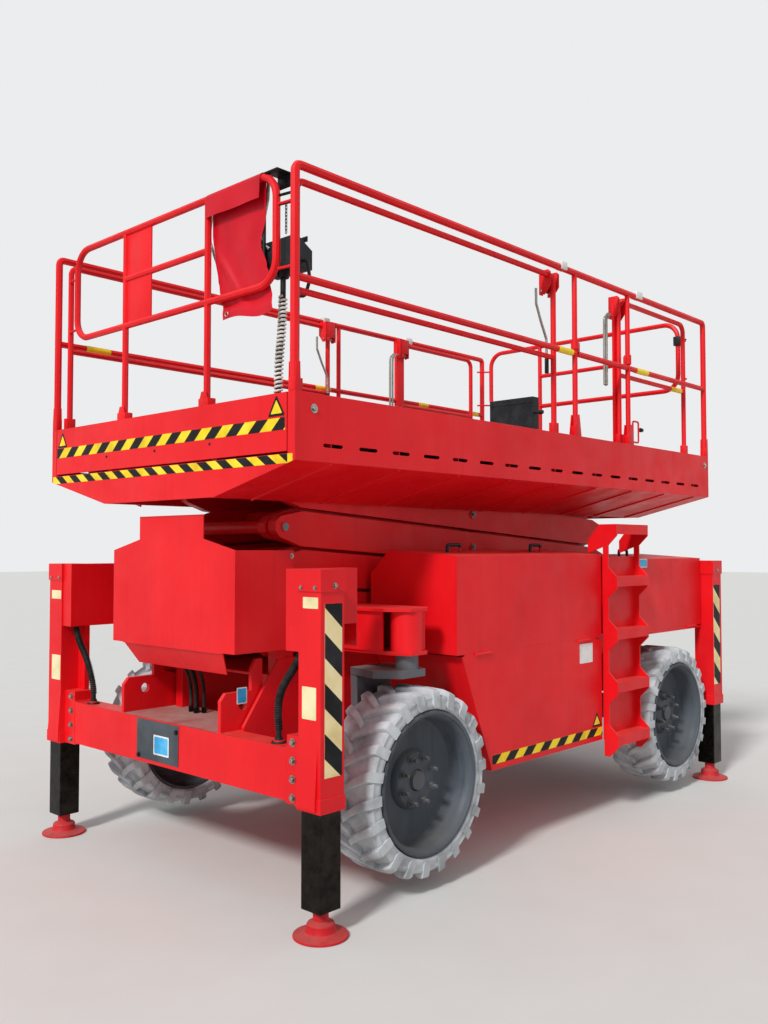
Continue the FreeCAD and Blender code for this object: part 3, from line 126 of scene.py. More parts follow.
def makeEnamel(name, base, faded, dust, dustAmount, grime, grimeAmount, rough, chips, gloss, orangePeel):
    # sprayed enamel over steel: satin, patchy from sun, dust on what faces up, rain streaks down the walls
    tree, where = startMaterial(name)
    patches = addNode(tree, "TexNoise", {}, {"Scale": 1.6, "Detail": 3.0, "Roughness": 0.55}, {"Vector": where})
    fade = addNode(tree, "MapRange", {}, {"From Min": 0.38, "From Max": 0.66}, {"Value": patches})
    colour = addNode(tree, "Mix", rgba, {6: linear(base), 7: linear(faded)}, {0: fade})
    # streaks 40 mm wide and half a metre long
    stretch = addNode(tree, "Mapping", {}, {"Scale": (24.0, 24.0, 1.4)}, {"Vector": where})
    streaks = addNode(tree, "TexNoise", {}, {"Scale": 1.0, "Detail": 5.0, "Roughness": 0.6}, {"Vector": stretch})
    streakMask = addNode(tree, "MapRange", {}, {"From Min": 0.52, "From Max": 0.78, "To Max": grimeAmount},
                         {"Value": streaks})
    grimy = addNode(tree, "Mix", rgba, {7: linear(grime)}, {0: streakMask, 6: colour})
    # chips and specks of 3 to 8 mm
    specks = addNode(tree, "TexNoise", {}, {"Scale": 85.0, "Detail": 2.0, "Roughness": 0.7}, {"Vector": where})
    speckMask = addNode(tree, "MapRange", {}, {"From Min": 0.70, "From Max": 0.76, "To Max": 0.7}, {"Value": specks})
    chipped = addNode(tree, "Mix", rgba, {7: linear(chips)}, {0: speckMask, 6: grimy})
    normal = addNode(tree, "NewGeometry").outputs["Normal"]
    split = addNode(tree, "SeparateXYZ", {}, {}, {"Vector": normal})
    upward = addNode(tree, "MapRange", {}, {"From Min": 0.35, "From Max": 0.95}, {"Value": split.outputs["Z"]})
    cloud = addNode(tree, "TexNoise", {}, {"Scale": 7.0, "Detail": 6.0, "Roughness": 0.65}, {"Vector": where})
    cloudMask = addNode(tree, "MapRange", {}, {"From Min": 0.3, "From Max": 0.75, "To Min": 0.25, "To Max": 1.0},
                        {"Value": cloud})
    dustMask = addNode(tree, "Math", {"operation": "MULTIPLY"}, {}, {0: upward, 1: cloudMask})
    dustShare = addNode(tree, "Math", {"operation": "MULTIPLY", "use_clamp": True}, {1: dustAmount * 2}, {0: dustMask})
    dusty = addNode(tree, "Mix", rgba, {7: linear(dust)}, {0: dustShare, 6: chipped})
    satin = addNode(tree, "MapRange", {},
                    {"From Min": 0.3, "From Max": 0.7, "To Min": rough[0], "To Max": rough[1]}, {"Value": cloud})
    dull = addNode(tree, "Math", {"operation": "MULTIPLY_ADD"}, {1: 0.3}, {0: dustShare, 2: satin})
    # orange peel about 2 mm wide, and dents of the sheet
    peel = addNode(tree, "TexNoise", {}, {"Scale": 420.0, "Detail": 1.0}, {"Vector": where})
    dents = addNode(tree, "TexNoise", {}, {"Scale": 3.2, "Detail": 1.0}, {"Vector": where})
    wave = addNode(tree, "Bump", {}, {"Strength": 0.35, "Distance": 0.012}, {"Height": dents})
    bump = addNode(tree, "Bump", {}, {"Strength": orangePeel, "Distance": 0.001}, {"Height": peel, "Normal": wave})
    closeMaterial(tree, {"IOR": 1.5, "Specular IOR Level": gloss},
                  {"Base Color": dusty, "Roughness": dull, "Normal": bump})


# bright, dark, smoothest and roughest, grain
metal = {
    "zincPlate": ("B9B7B0", "7E7B74", (0.3, 0.5), 140.0),
    "hardChrome": ("D6D8DA", "B4B6B8", (0.08, 0.18), 60.0),
    "greasedSteel": ("35312D", "1E1C1A", (0.20, 0.42), 24.0),
    "galvanisedSheet": ("8F9193", "65686A", (0.42, 0.62), 90.0),
}


def makeMetal(name, bright, dark, rough, grainScale):
    # bare or plated steel: mottled, brighter where it is rubbed
    tree, where = startMaterial(name)
    grain = addNode(tree, "TexNoise", {}, {"Scale": grainScale, "Detail": 4.0, "Roughness": 0.6}, {"Vector": where})
    mottle = addNode(tree, "TexNoise", {}, {"Scale": 9.0, "Detail": 4.0, "Roughness": 0.6}, {"Vector": where})
    both = addNode(tree, "Math", {"operation": "MULTIPLY_ADD"}, {1: 0.6}, {0: mottle, 2: grain})
    share = addNode(tree, "MapRange", {}, {"From Min": 0.6, "From Max": 1.05}, {"Value": both})
    colour = addNode(tree, "Mix", rgba, {6: linear(dark), 7: linear(bright)}, {0: share})
    satin = addNode(tree, "MapRange", {},
                    {"From Min": 0.3, "From Max": 0.7, "To Min": rough[1], "To Max": rough[0]}, {"Value": mottle})
    bump = addNode(tree, "Bump", {}, {"Strength": 0.15, "Distance": 0.0008}, {"Height": grain})
    closeMaterial(tree, {"Metallic": 1.0}, {"Base Color": colour, "Roughness": satin, "Normal": bump})


# base, dark, light, roughness, pattern scale, bump, reflection at the surface
soft = {
    "tyreRubber": ("B8BCBF", "94989B", "CBD0D3", 0.88, 26.0, 0.4, 0.2),
    "blackPlastic": ("16181C", "0C0D10", "2B2E33", 0.48, 60.0, 0.15, 0.3),
    "hoseRubber": ("1B1B1C", "0D0D0E", "343230", 0.6, 70.0, 0.2, 0.3),
    "coatedVinyl": ("C20A20", "A8081A", "D21428", 0.4, 9.0, 0.1, 0.22),
    "spiralWrap": ("D8D8D0", "A9A89E", "EEEEE8", 0.45, 40.0, 0.1, 0.5),
    "whiteLabel": ("E4E2E0", "C8C4C0", "F0EEEC", 0.5, 30.0, 0.05, 0.5),
    "greenGrey": ("3C444A", "2C3338", "4A545B", 0.55, 30.0, 0.1, 0.5),
    "redKnob": ("B8141A", "960E14", "CC2A2E", 0.35, 30.0, 0.05, 0.3),
    "blankLabel": ("E8DAA8", "D2C48E", "F0E4BC", 0.5, 30.0, 0.05, 0.5),
    "blueLabel": ("2FA6DE", "1F86BE", "6CC4EA", 0.45, 30.0, 0.05, 0.5),
    "hazardYellow": ("F4D21A", "D3B012", "FBE34A", 0.45, 30.0, 0.05, 0.3),
    "hazardBlack": ("17171A", "0D0D0F", "2A2A2E", 0.5, 30.0, 0.05, 0.15),
    "creamBoard": ("EFD9A0", "DCC488", "F6E6B8", 0.5, 30.0, 0.05, 0.3),
    "whiteNylon": ("DEDDD8", "BFBDB6", "F0F0EC", 0.4, 30.0, 0.05, 0.5),
}


def makeSoft(name, base, dark, light, rough, scale, bumpStrength, sheen):
    # rubber, plastic, vinyl and printed film: one colour that dirt and light wear break up
    tree, where = startMaterial(name)
    blotch = addNode(tree, "TexNoise", {}, {"Scale": scale / 4, "Detail": 4.0, "Roughness": 0.6}, {"Vector": where})
    ramp = addNode(tree, "ValToRGB", {}, {}, {"Fac": blotch})
    stops = ramp.color_ramp.elements
    stops[0].position = 0.32
    stops[0].color = linear(dark)
    stops[1].position = 0.72
    stops[1].color = linear(light)
    stops.new(0.5).color = linear(base)
    fine = addNode(tree, "TexNoise", {}, {"Scale": scale * 12, "Detail": 3.0}, {"Vector": where})
    satin = addNode(tree, "MapRange", {},
                    {"From Min": 0.3, "From Max": 0.7, "To Min": rough - 0.08, "To Max": rough + 0.1},
                    {"Value": blotch})
    bump = addNode(tree, "Bump", {}, {"Strength": bumpStrength, "Distance": 0.002}, {"Height": fine})
    closeMaterial(tree, {"IOR": 1.5, "Specular IOR Level": sheen},
                  {"Base Color": ramp, "Roughness": satin, "Normal": bump})


chequer = {"pitch": 0.030, "long": 0.62, "wide": 0.15, "paint": "8A2A2C", "worn": "8E8A84", "dirt": "5E4A44"}


def makeChequerPlate():
    # pressed floor plate: raised tears 18 mm long that turn about from one to the next, red paint worn off their tops
    tree, where = startMaterial("chequerPlate")
    multiply, add, subtract = {"operation": "MULTIPLY"}, {"operation": "ADD"}, {"operation": "SUBTRACT"}
    small = addNode(tree, "VectorMath", {"operation": "SCALE"}, {"Scale": 1 / chequer["pitch"]}, {0: where})
    cell = addNode(tree, "VectorMath", {"operation": "FLOOR"}, {}, {0: small})
    inside = addNode(tree, "VectorMath", {"operation": "FRACTION"}, {}, {0: small})
    cells = addNode(tree, "SeparateXYZ", {}, {}, {"Vector": cell}).outputs
    local = addNode(tree, "SeparateXYZ", {}, {}, {"Vector": inside}).outputs
    both = addNode(tree, "Math", add, {}, {0: cells["X"], 1: cells["Y"]})
    odd = addNode(tree, "Math", {"operation": "FLOORED_MODULO"}, {1: 2.0}, {0: both})
    turn = addNode(tree, "Math", {"operation": "MULTIPLY_ADD"}, {1: 2.0, 2: -1.0}, {0: odd})
    u = addNode(tree, "Math", subtract, {1: 0.5}, {0: local["X"]})
    v = addNode(tree, "Math", subtract, {1: 0.5}, {0: local["Y"]})
    turned = addNode(tree, "Math", multiply, {}, {0: v, 1: turn})
    along = addNode(tree, "Math", add, {}, {0: u, 1: turned})
    across = addNode(tree, "Math", subtract, {}, {0: u, 1: turned})
    longPart = addNode(tree, "Math", multiply, {1: 1 / chequer["long"]}, {0: along})
    widePart = addNode(tree, "Math", multiply, {1: 1 / chequer["wide"]}, {0: across})
    longSquare = addNode(tree, "Math", multiply, {}, {0: longPart, 1: longPart})
    total = addNode(tree, "Math", {"operation": "MULTIPLY_ADD"}, {}, {0: widePart, 1: widePart, 2: longSquare})
    tear = addNode(tree, "MapRange", {"interpolation_type": "SMOOTHSTEP"}, {"From Min": 1.0, "From Max": 0.5},
                   {"Value": total})
    dirt = addNode(tree, "TexNoise", {}, {"Scale": 4.0, "Detail": 6.0, "Roughness": 0.7}, {"Vector": where})
    wear = addNode(tree, "Math", multiply, {}, {0: tear, 1: dirt})
    ground = addNode(tree, "Mix", rgba, {6: linear(chequer["paint"]), 7: linear(chequer["dirt"])}, {0: dirt})
    colour = addNode(tree, "Mix", rgba, {7: linear(chequer["worn"])}, {0: wear, 6: ground})
    bump = addNode(tree, "Bump", {}, {"Strength": 0.6, "Distance": 0.0015}, {"Height": tear})
    closeMaterial(tree, {"IOR": 1.5, "Roughness": 0.6}, {"Base Color": colour, "Normal": bump})


for maker, looks in ((makeEnamel, paint), (makeMetal, metal), (makeSoft, soft)):
    for name, look in looks.items():
        maker(name, *look)
makeChequerPlate()
print("finishes", len(materials))

# a piece's slot where its finish settles it
slots = {"redEnamel": "red_paint", "blackEnamel": "cylinder_black", "hardChrome": "ram_chrome", "rimEnamel": "rim_grey",
         "tyreRubber": "tyre_rubber", "wornPrimer": "foot_paint", "coatedVinyl": "vinyl_red"}


def finishPiece(name, mesh, finish, body, nodes=(), smoothAngle=35.0, slot="", region=None):
    # puts a bmesh in the scene as a piece that rides on a body; a region is a box whose faces get another finish
    data = bpy.data.meshes.new(name)
    mesh.to_mesh(data)
    mesh.free()
    piece = bpy.data.objects.new(name, data)
    scene.collection.objects.link(piece)
    for face in data.polygons:
        face.use_smooth = True
    data.set_sharp_from_angle(angle=math.radians(smoothAngle))
    data.materials.append(materials[finish])
    if region:
        other, low, high = region
        data.materials.append(materials[other])
        for face in data.polygons:
            face.material_index = all(a <= c <= b for a, c, b in zip(low, face.center, high))
    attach(piece, body)
    slot = slot or slots.get(finish)
    if nodes:
        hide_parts(*nodes)
    return piece


def unique(items):
    # each item once and in the order met, so that every run makes the same mesh
    return list(dict.fromkeys(items))


def roundEdges(mesh, edges, width, segments=2):
    bmesh.ops.bevel(mesh, geom=edges, offset=width, offset_type="OFFSET", affect="EDGES", segments=segments,
                    profile=0.5, material=-1, clamp_overlap=True)


def addRod(mesh, start, end, radius, sides=16, endRadius=None):
    # round or many-sided rod from start to end
    start, end = Vector(start), Vector(end)
    way = end - start
    place = Matrix.Translation((start + end) / 2) @ way.to_track_quat("Z", "Y").to_matrix().to_4x4()
    return bmesh.ops.create_cone(mesh, cap_ends=True, segments=sides, radius1=radius,
                                 radius2=radius if endRadius is None else endRadius, depth=way.length,
                                 matrix=place)["verts"]


def addBox(mesh, low, high, bevel=0.0):
    centre = [(a + b) / 2 for a, b in zip(low, high)]
    size = [abs(b - a) for a, b in zip(low, high)]
    made = bmesh.ops.create_cube(mesh, size=1.0, matrix=Matrix.Translation(centre) @ Matrix.Diagonal((*size, 1)))
    if bevel:
        roundEdges(mesh, unique(edge for vert in made["verts"] for edge in vert.link_edges), bevel)


def addPlate(mesh, outline, along, bevel=0.0):
    # flat outline of 3-D points pushed along a vector
    verts = [mesh.verts.new(point) for point in outline]
    grown = bmesh.ops.extrude_face_region(mesh, geom=[mesh.faces.new(verts)])
    moved = [item for item in grown["geom"] if isinstance(item, bmesh.types.BMVert)]
    bmesh.ops.translate(mesh, verts=moved, vec=along)
    faces = unique(face for vert in verts + moved for face in vert.link_faces)
    bmesh.ops.recalc_face_normals(mesh, faces=faces)
    if bevel:
        roundEdges(mesh, unique(edge for face in faces for edge in face.edges), bevel)


def addBolt(mesh, at, way, radius=0.011, washer=0.017, height=0.009):
    # hexagon head on a washer 2.5 mm thick, standing on a surface
    at, way = Vector(at), Vector(way).normalized()
    seat = at + way * 0.0025
    addRod(mesh, at, seat, washer, 16)
    verts = addRod(mesh, seat, at + way * (0.0025 + height), radius, 6)
    roundEdges(mesh, unique(edge for vert in verts for edge in vert.link_edges), 0.0015, 1)


def roundedRoute(points, bend, closed=False, chords=8):
    # points along a route whose corners are arcs of the bend's radius
    corners = [Vector(point) for point in points]
    route = []
    for i, corner in enumerate(corners):
        if not closed and i in (0, len(corners) - 1):
            route.append(corner)
            continue
        wayIn = (corners[i - 1] - corner).normalized()
        wayOut = (corners[(i + 1) % len(corners)] - corner).normalized()
        half = wayIn.angle(wayOut) / 2
        centre = corner + (wayIn + wayOut).normalized() * (bend / math.sin(half))
        first = corner + wayIn * (bend / math.tan(half)) - centre
        axis = wayOut.cross(wayIn).normalized()
        for step in range(chords + 1):
            route.append(centre + Matrix.Rotation((math.pi - 2 * half) * step / chords, 3, axis) @ first)
    return route


def makeCurve(name, kind, points, radius, resolution):
    # curve through or along points, with a round section
    curve = bpy.data.curves.new(name, "CURVE")
    curve.dimensions = "3D"
    curve.bevel_depth = radius
    curve.bevel_resolution = resolution
    curve.use_fill_caps = radius > 0
    spline = curve.splines.new(kind)
    spline.points.add(len(points) - 1)
    for point, at in zip(spline.points, points):
        point.co = (*at, 1)
    return curve, spline


def meshOf(curve):
    # a curve turned to a mesh, after which the curve is gone
    holder = bpy.data.objects.new("route", curve)
    made = bpy.data.meshes.new_from_object(holder)
    bpy.data.objects.remove(holder)
    bpy.data.curves.remove(curve)
    return made


def addTube(mesh, points, radius, bend=0.0, closed=False, sides=16):
    route = roundedRoute(points, bend, closed) if bend else [Vector(point) for point in points]
    curve, spline = makeCurve("tube", "POLY", route, radius, sides // 4 - 2 if sides > 8 else 1)
    spline.use_cyclic_u = closed
    made = meshOf(curve)
    mesh.from_mesh(made)
    bpy.data.meshes.remove(made)


def turnProfile(points, axis, steps, closed=True):
    # profile spun a full turn about an axis through the origin
    mesh = bmesh.new()
    verts = [mesh.verts.new(point) for point in points]
    edges = [mesh.edges.new(pair) for pair in zip(verts, verts[1:] + verts[:closed])]
    bmesh.ops.spin(mesh, geom=verts + edges, cent=(0, 0, 0), axis=axis, angle=2 * math.pi, steps=steps,
                   use_merge=True)
    bmesh.ops.remove_doubles(mesh, verts=mesh.verts, dist=0.00005)
    bmesh.ops.recalc_face_normals(mesh, faces=mesh.faces)
    return mesh


def weighFlats(piece):
    # large flats keep their own shading, so that only the rounded edges between them blend
    weigh = piece.modifiers.new("flatWeight", "WEIGHTED_NORMAL")
    weigh.keep_sharp = True


# flats with holes and notches here stay as triangles, because one large face over them folds on itself
pierced = ("front_beam", "rear_beam", "ladder")


def roundedCopy(node, width):
    # copy of a frame node with its doubles merged, its flats dissolved and its edges rounded
    mesh = bmesh.new()
    mesh.from_mesh(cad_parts[node].data)
    bmesh.ops.remove_doubles(mesh, verts=mesh.verts, dist=0.00002)
    if node not in pierced:
        bmesh.ops.dissolve_limit(mesh, angle_limit=math.radians(1.0), use_dissolve_boundaries=False,
                                 verts=mesh.verts, edges=mesh.edges)
    sharp = [edge for edge in mesh.edges
             if len(edge.link_faces) == 2 and edge.calc_face_angle(0) > math.radians(32)
             and edge.calc_length() > width * 2]
    roundEdges(mesh, sharp, width)
    return mesh


# body or, where it is empty, the node's own, finish, slot, how far edges are rounded, nodes
sheetMetal = [
    ("chassis", "redEnamel", "", 0.003, ["chassis_frame", "front_axle", "leg_posts"]),
    ("chassis", "redEnamel", "", 0.004, ["front_beam", "rear_beam"]),
    ("chassis", "redEnamel", "", 0.002, ["front_hood", "ladder", "side_tray_left", "side_tray_right", "rear_trays"]),
    ("chassis", "greyEnamel", "chassis_grey", 0.004, ["rear_axle"]),
    ("", "greyEnamel", "chassis_grey", 0.003, ["knuckle_right", "knuckle_left"]),
    ("", "redEnamel", "", 0.0025, [end + "_cover_" + side for end in ("front", "rear") for side in ("left", "right")]),
    ("", "redEnamel", "", 0.004, [kind + "_arm_%d" % stage for stage in range(1, 5) for kind in ("inner", "outer")]),
    ("", "blackEnamel", "", 0.0015, ["lift_barrel"]),
    ("", "hardChrome", "", 0.001, ["lift_ram"]),
    ("platform", "redEnamel", "", 0.002, ["platform_hull"]),
    ("front_extension", "redEnamel", "", 0.002, ["front_deck"]),
    ("rear_extension", "redEnamel", "", 0.002, ["rear_deck"]),
    ("rear_extension", "blackPlastic", "box_black", 0.005, ["manual_box"]),
]
for corner, _, _ in corners:
    sheetMetal.append(("jack_" + corner, "greasedSteel", "jack_black", 0.004, ["jack_tube_" + corner]))

# node and the box of it whose faces have another finish
dressed = {
    "front_beam": ("dustyEnamel", (-1.90, -0.43, 0.770), (-1.55, 0.43, 0.780)),
    "platform_hull": ("chequerPlate", (-2.03, -1.045, 2.1645), (2.03, 1.045, 2.1685)),
    "front_deck": ("chequerPlate", (-2.03, -1.0, 2.1995), (-0.14, 1.0, 2.2005)),
    "rear_deck": ("chequerPlate", (0.85, -1.0, 2.1995), (2.03, 1.0, 2.2005)),
}
# the handles stand above the tops of the covers
for end, x0, x1, top in (("front", -0.74, 0.30, 1.643), ("rear", 1.10, 1.32, 1.610)):
    for sideName, y0, y1 in (("right", -0.85, -0.75), ("left", 0.75, 0.85)):
        dressed[end + "_cover_" + sideName] = ("blackPlastic", (x0, y0, top), (x1, y1, 1.75))

for body, finish, slot, width, nodes in sheetMetal:
    for node in nodes:
        weighFlats(finishPiece(node + "_skin", roundedCopy(node, width), finish, body or node, (node,), 30.0, slot,
                               dressed.get(node)))
print("sheet metal")


# tyres: a turned carcass and curved bars wrapped round it
tyre = {"radius": 0.452, "width": 0.336, "bead": 0.3462, "tread": 0.030, "lugs": 22, "steps": 88,
        "lugWide": 0.050, "slant": 0.62, "centreY": 0.960, "centreZ": 0.525, "frontX": -1.224, "rearX": 1.376,
        "shoulder": 0.045, "sink": 0.014}


def treadBar():
    # one bar: a bevelled block, cut along its length, slanted and wrapped round the carcass
    half = tyre["width"] / 2
    base = tyre["radius"] - tyre["tread"]
    bar = bmesh.new()
    length = half + tyre["sink"]
    addBox(bar, (-tyre["lugWide"] / 2, 0, -0.012), (tyre["lugWide"] / 2, length, tyre["tread"] - 0.0005))
    for vert in bar.verts:
        if vert.co.z > 0:
            vert.co.x *= 0.80
            if vert.co.y > half:
                vert.co.y -= 0.012
    roundEdges(bar, [edge for edge in bar.edges if all(vert.co.z > 0 for vert in edge.verts)], 0.005)
    for cut in range(1, 7):
        bmesh.ops.bisect_plane(bar, geom=bar.verts[:] + bar.edges[:] + bar.faces[:],
                               plane_co=(0, length * cut / 7, 0), plane_no=(0, 1, 0))
    for vert in bar.verts:
        along = vert.co.y / length
        shoulder = max(0.0, (vert.co.y - (half - tyre["shoulder"])) / tyre["shoulder"])
        lift = base + vert.co.z - 0.030 * shoulder ** 2 * (0.4 if vert.co.z > 0 else 1.0)
        wide = vert.co.x * (0.78 + 0.34 * along)
        turn = (wide - tyre["slant"] * 0.13 * (1 - along) ** 1.5 + 0.012 * along) / base
        vert.co = (lift * math.sin(turn), vert.co.y - tyre["sink"], lift * math.cos(turn))
    data = bpy.data.meshes.new("treadBar")
    bar.to_mesh(data)
    bar.free()
    return data


def buildTyre(corner, x, side):
    half = tyre["width"] / 2
    base = tyre["radius"] - tyre["tread"]
    bead = tyre["bead"]
    # radius and half width of the carcass from bead to bead
    profile = [(bead, 0.140), (bead + 0.005, 0.153), (bead + 0.015, 0.1575), (bead + 0.028, 0.1565),
               (bead + 0.040, 0.152), (base - 0.018, half - 0.012), (base - 0.006, half - 0.020), (base, half - 0.040),
               (base + 0.002, 0.060), (base + 0.003, 0.0)]
    mesh = turnProfile([(0, -y, r) for r, y in profile] + [(0, y, r) for r, y in reversed(profile[:-1])], (0, 1, 0),
                       tyre["steps"])
    bar = treadBar()
    # the bars of one shoulder stand halfway between those of the other
    for turned, shift in ((1, 0.75), (-1, 0.25)):
        for step in range(tyre["lugs"]):
            before = len(mesh.verts)
            mesh.from_mesh(bar)
            mesh.verts.ensure_lookup_table()
            fresh = mesh.verts[before:]
            angle = 2 * math.pi * (step + shift) / tyre["lugs"]
            if turned < 0:
                bmesh.ops.scale(mesh, verts=fresh, vec=(1, -1, 1))
                bmesh.ops.reverse_faces(mesh, faces=unique(face for vert in fresh for face in vert.link_faces))
            bmesh.ops.rotate(mesh, verts=fresh, cent=(0, 0, 0), matrix=Matrix.Rotation(angle, 3, "Y"))
    bpy.data.meshes.remove(bar)
    bmesh.ops.translate(mesh, verts=mesh.verts, vec=(x, side * tyre["centreY"], tyre["centreZ"]))
    finishPiece("tyre_" + corner + "_tread", mesh, "tyreRubber", "wheel_" + corner, ("tyre_" + corner,), 38.0)


# rims: deep dished discs with studs
rim = {"outer": 0.3455, "discY": 0.018, "studs": 8, "studCircle": 0.112, "studLong": 0.045, "steps": 72}


def buildRim(corner, x, side):
    o, d = rim["outer"], rim["discY"]
    # radius and outward Y
    profile = [(0.052, d + 0.046), (0.105, d + 0.044), (0.128, d + 0.040), (0.138, d + 0.030), (0.146, d + 0.004),
               (0.160, d), (o - 0.078, d - 0.004), (o - 0.050, d + 0.006), (o - 0.040, d + 0.030),
               (o - 0.038, 0.112), (o - 0.030, 0.140), (o - 0.020, 0.150), (o - 0.018, 0.158), (o - 0.010, 0.1605),
               (o - 0.002, 0.158), (o, 0.150), (o, 0.132), (o - 0.0005, -0.148), (o - 0.012, -0.148),
               (o - 0.013, -0.045), (o - 0.055, d - 0.016), (0.052, d - 0.016)]
    mesh = turnProfile([(0, side * y, r) for r, y in profile], (0, 1, 0), rim["steps"])
    cy, cz = tyre["centreY"], tyre["centreZ"]
    bmesh.ops.translate(mesh, verts=mesh.verts, vec=(x, side * cy, cz))
    finishPiece("rim_" + corner + "_disc", mesh, "rimEnamel", "wheel_" + corner, ("rim_" + corner,), 30.0)
    studs = bmesh.new()
    y0 = side * (cy + d + 0.042)
    # each stud, its washer and its nut: from, to, radius, corners
    turned = ((0.0, rim["studLong"], 0.0095, 10), (0.0, 0.004, 0.021, 14), (0.004, 0.022, 0.0165, 6))
    for step in range(rim["studs"]):
        angle = 2 * math.pi * (step + 0.5) / rim["studs"]
        sx, sz = x + rim["studCircle"] * math.cos(angle), cz + rim["studCircle"] * math.sin(angle)
        for begin, end, radius, count in turned:
            addRod(studs, (sx, y0 + side * begin, sz), (sx, y0 + side * end, sz), radius, count)
    addRod(studs, (x, side * (cy + d + 0.030), cz), (x, side * (cy + d + 0.058), cz), 0.050, 28, 0.044)
    finishPiece("rim_" + corner + "_studs", studs, "greyEnamel", "wheel_" + corner, (), 30.0, "rim_grey")


# feet of the jack legs
foot = {"radius": 0.1213, "boss": 0.062, "neck": 0.034, "top": 0.1149, "x": 1.922, "y": 1.088, "steps": 56}


def buildFoot(corner, x, y):
    r, boss, neck, top = foot["radius"], foot["boss"], foot["neck"], foot["top"]
    profile = [(0, 0), (r - 0.006, 0), (r - 0.001, 0.002), (r, 0.006), (r - 0.002, 0.0115), (r - 0.010, 0.0135),
               (boss + 0.020, 0.0165), (boss + 0.006, 0.024), (boss, 0.036), (boss - 0.001, 0.054),
               (boss - 0.006, 0.061), (neck + 0.012, 0.064), (neck + 0.002, 0.070), (neck, 0.080), (neck, top),
               (0, top)]
    mesh = turnProfile([(radius, 0, z) for radius, z in profile], (0, 0, 1), foot["steps"], False)
    bmesh.ops.translate(mesh, verts=mesh.verts, vec=(x, y, 0))
    finishPiece("foot_" + corner + "_pad", mesh, "wornPrimer", "jack_" + corner, ("foot_" + corner,), 30.0)


for corner, way, side in corners:
    axleX = tyre["frontX"] if way < 0 else tyre["rearX"]
    buildTyre(corner, axleX, side)
    buildRim(corner, axleX, side)
    buildFoot(corner, way * foot["x"], side * foot["y"])
print("wheels and feet")


# guard rails
rails = {"outerR": 0.0205, "innerR": 0.0170, "loopR": 0.0180, "outerY": 1.027, "innerY": 0.978, "topZ": 3.329,
         "midZ": 2.835, "innerTopZ": 3.282, "innerMidZ": 2.792, "footZ": 2.335, "endX": 2.028, "loopX": 1.998,
         "rearLoopX": 1.950, "entryFrontX": 0.240, "entryRearX": 0.890, "frontPostX": 0.080, "rearPostX": 1.800,
         "rearFlatX": 0.860, "loopHalfY": 0.868, "loopTopZ": 3.343, "loopLowZ": 2.840, "loopPostY": 0.362,
         "socketTop": 2.460, "fasciaTop": 2.330}


def addSocket(mesh, x, y, width):
    # post foot between two tapered plates
    low, top = rails["fasciaTop"], rails["socketTop"]
    addBox(mesh, (x - 0.018, y - 0.021, low), (x + 0.018, y + 0.021, low + 0.062), 0.002)
    for side in (-1, 1):
        y0, y1 = sorted((y + side * 0.0175, y + side * 0.0228))
        outline = [(x - width / 2, y0, low), (x + width / 2, y0, low), (x + 0.014, y0, top), (x - 0.014, y0, top)]
        addPlate(mesh, outline, (0, y1 - y0, 0), 0.0015)


def buildMainRails(sideName, side):
    mesh = bmesh.new()
    y, end, low, top, radius = side * rails["outerY"], rails["endX"], rails["footZ"], rails["topZ"], rails["outerR"]
    entry = (rails["entryFrontX"], rails["entryRearX"])
    addTube(mesh, [(-end, y, low), (-end, y, top), (end, y, top), (end, y, low)], radius, 0.030)
    for x in entry:
        addTube(mesh, [(x, y, low), (x, y, top)], radius - 0.004)
    for x0, x1 in [(-end, end)] if side > 0 else [(-end, entry[0]), (entry[1], end)]:
        addTube(mesh, [(x0, y, rails["midZ"]), (x1, y, rails["midZ"])], radius - 0.002)
    for x, width in ((-end, 0.034), (entry[0], 0.07), (entry[1], 0.07), (end, 0.034)):
        addSocket(mesh, x, y, width)
    finishPiece("main_rails_%s_tubes" % sideName, mesh, "redEnamel", "platform", ("main_rails_" + sideName,), 40.0)


def buildEntryBar():
    # bar with an open ring round each post
    mesh = bmesh.new()
    y, z, gap = -rails["outerY"], rails["midZ"], 0.022
    addTube(mesh, [(rails["entryFrontX"] + gap, y, z), (rails["entryRearX"] - gap, y, z)], rails["outerR"] - 0.002)
    for x, toward in ((rails["entryFrontX"], 1), (rails["entryRearX"], -1)):
        ring = bmesh.ops.create_circle(mesh, cap_ends=False, segments=24, radius=0.0235,
                                       matrix=Matrix.Translation((x, y, z + 0.024)))
        edges = unique(edge for vert in ring["verts"] for edge in vert.link_edges)
        grown = bmesh.ops.extrude_edge_only(mesh, edges=edges)
        bmesh.ops.translate(mesh, verts=[item for item in grown["geom"] if isinstance(item, bmesh.types.BMVert)],
                            vec=(0, 0, 0.060))
        bmesh.ops.solidify(mesh, geom=[face for edge in edges for face in edge.link_faces], thickness=0.0035)
        x0, x1 = sorted((x + toward * 0.0205, x + toward * 0.047))
        addBox(mesh, (x0, y - 0.008, z), (x1, y + 0.008, z + 0.07), 0.002)
    finishPiece("entry_bar_tube", mesh, "redEnamel", "entry_bar", ("entry_bar",), 40.0)


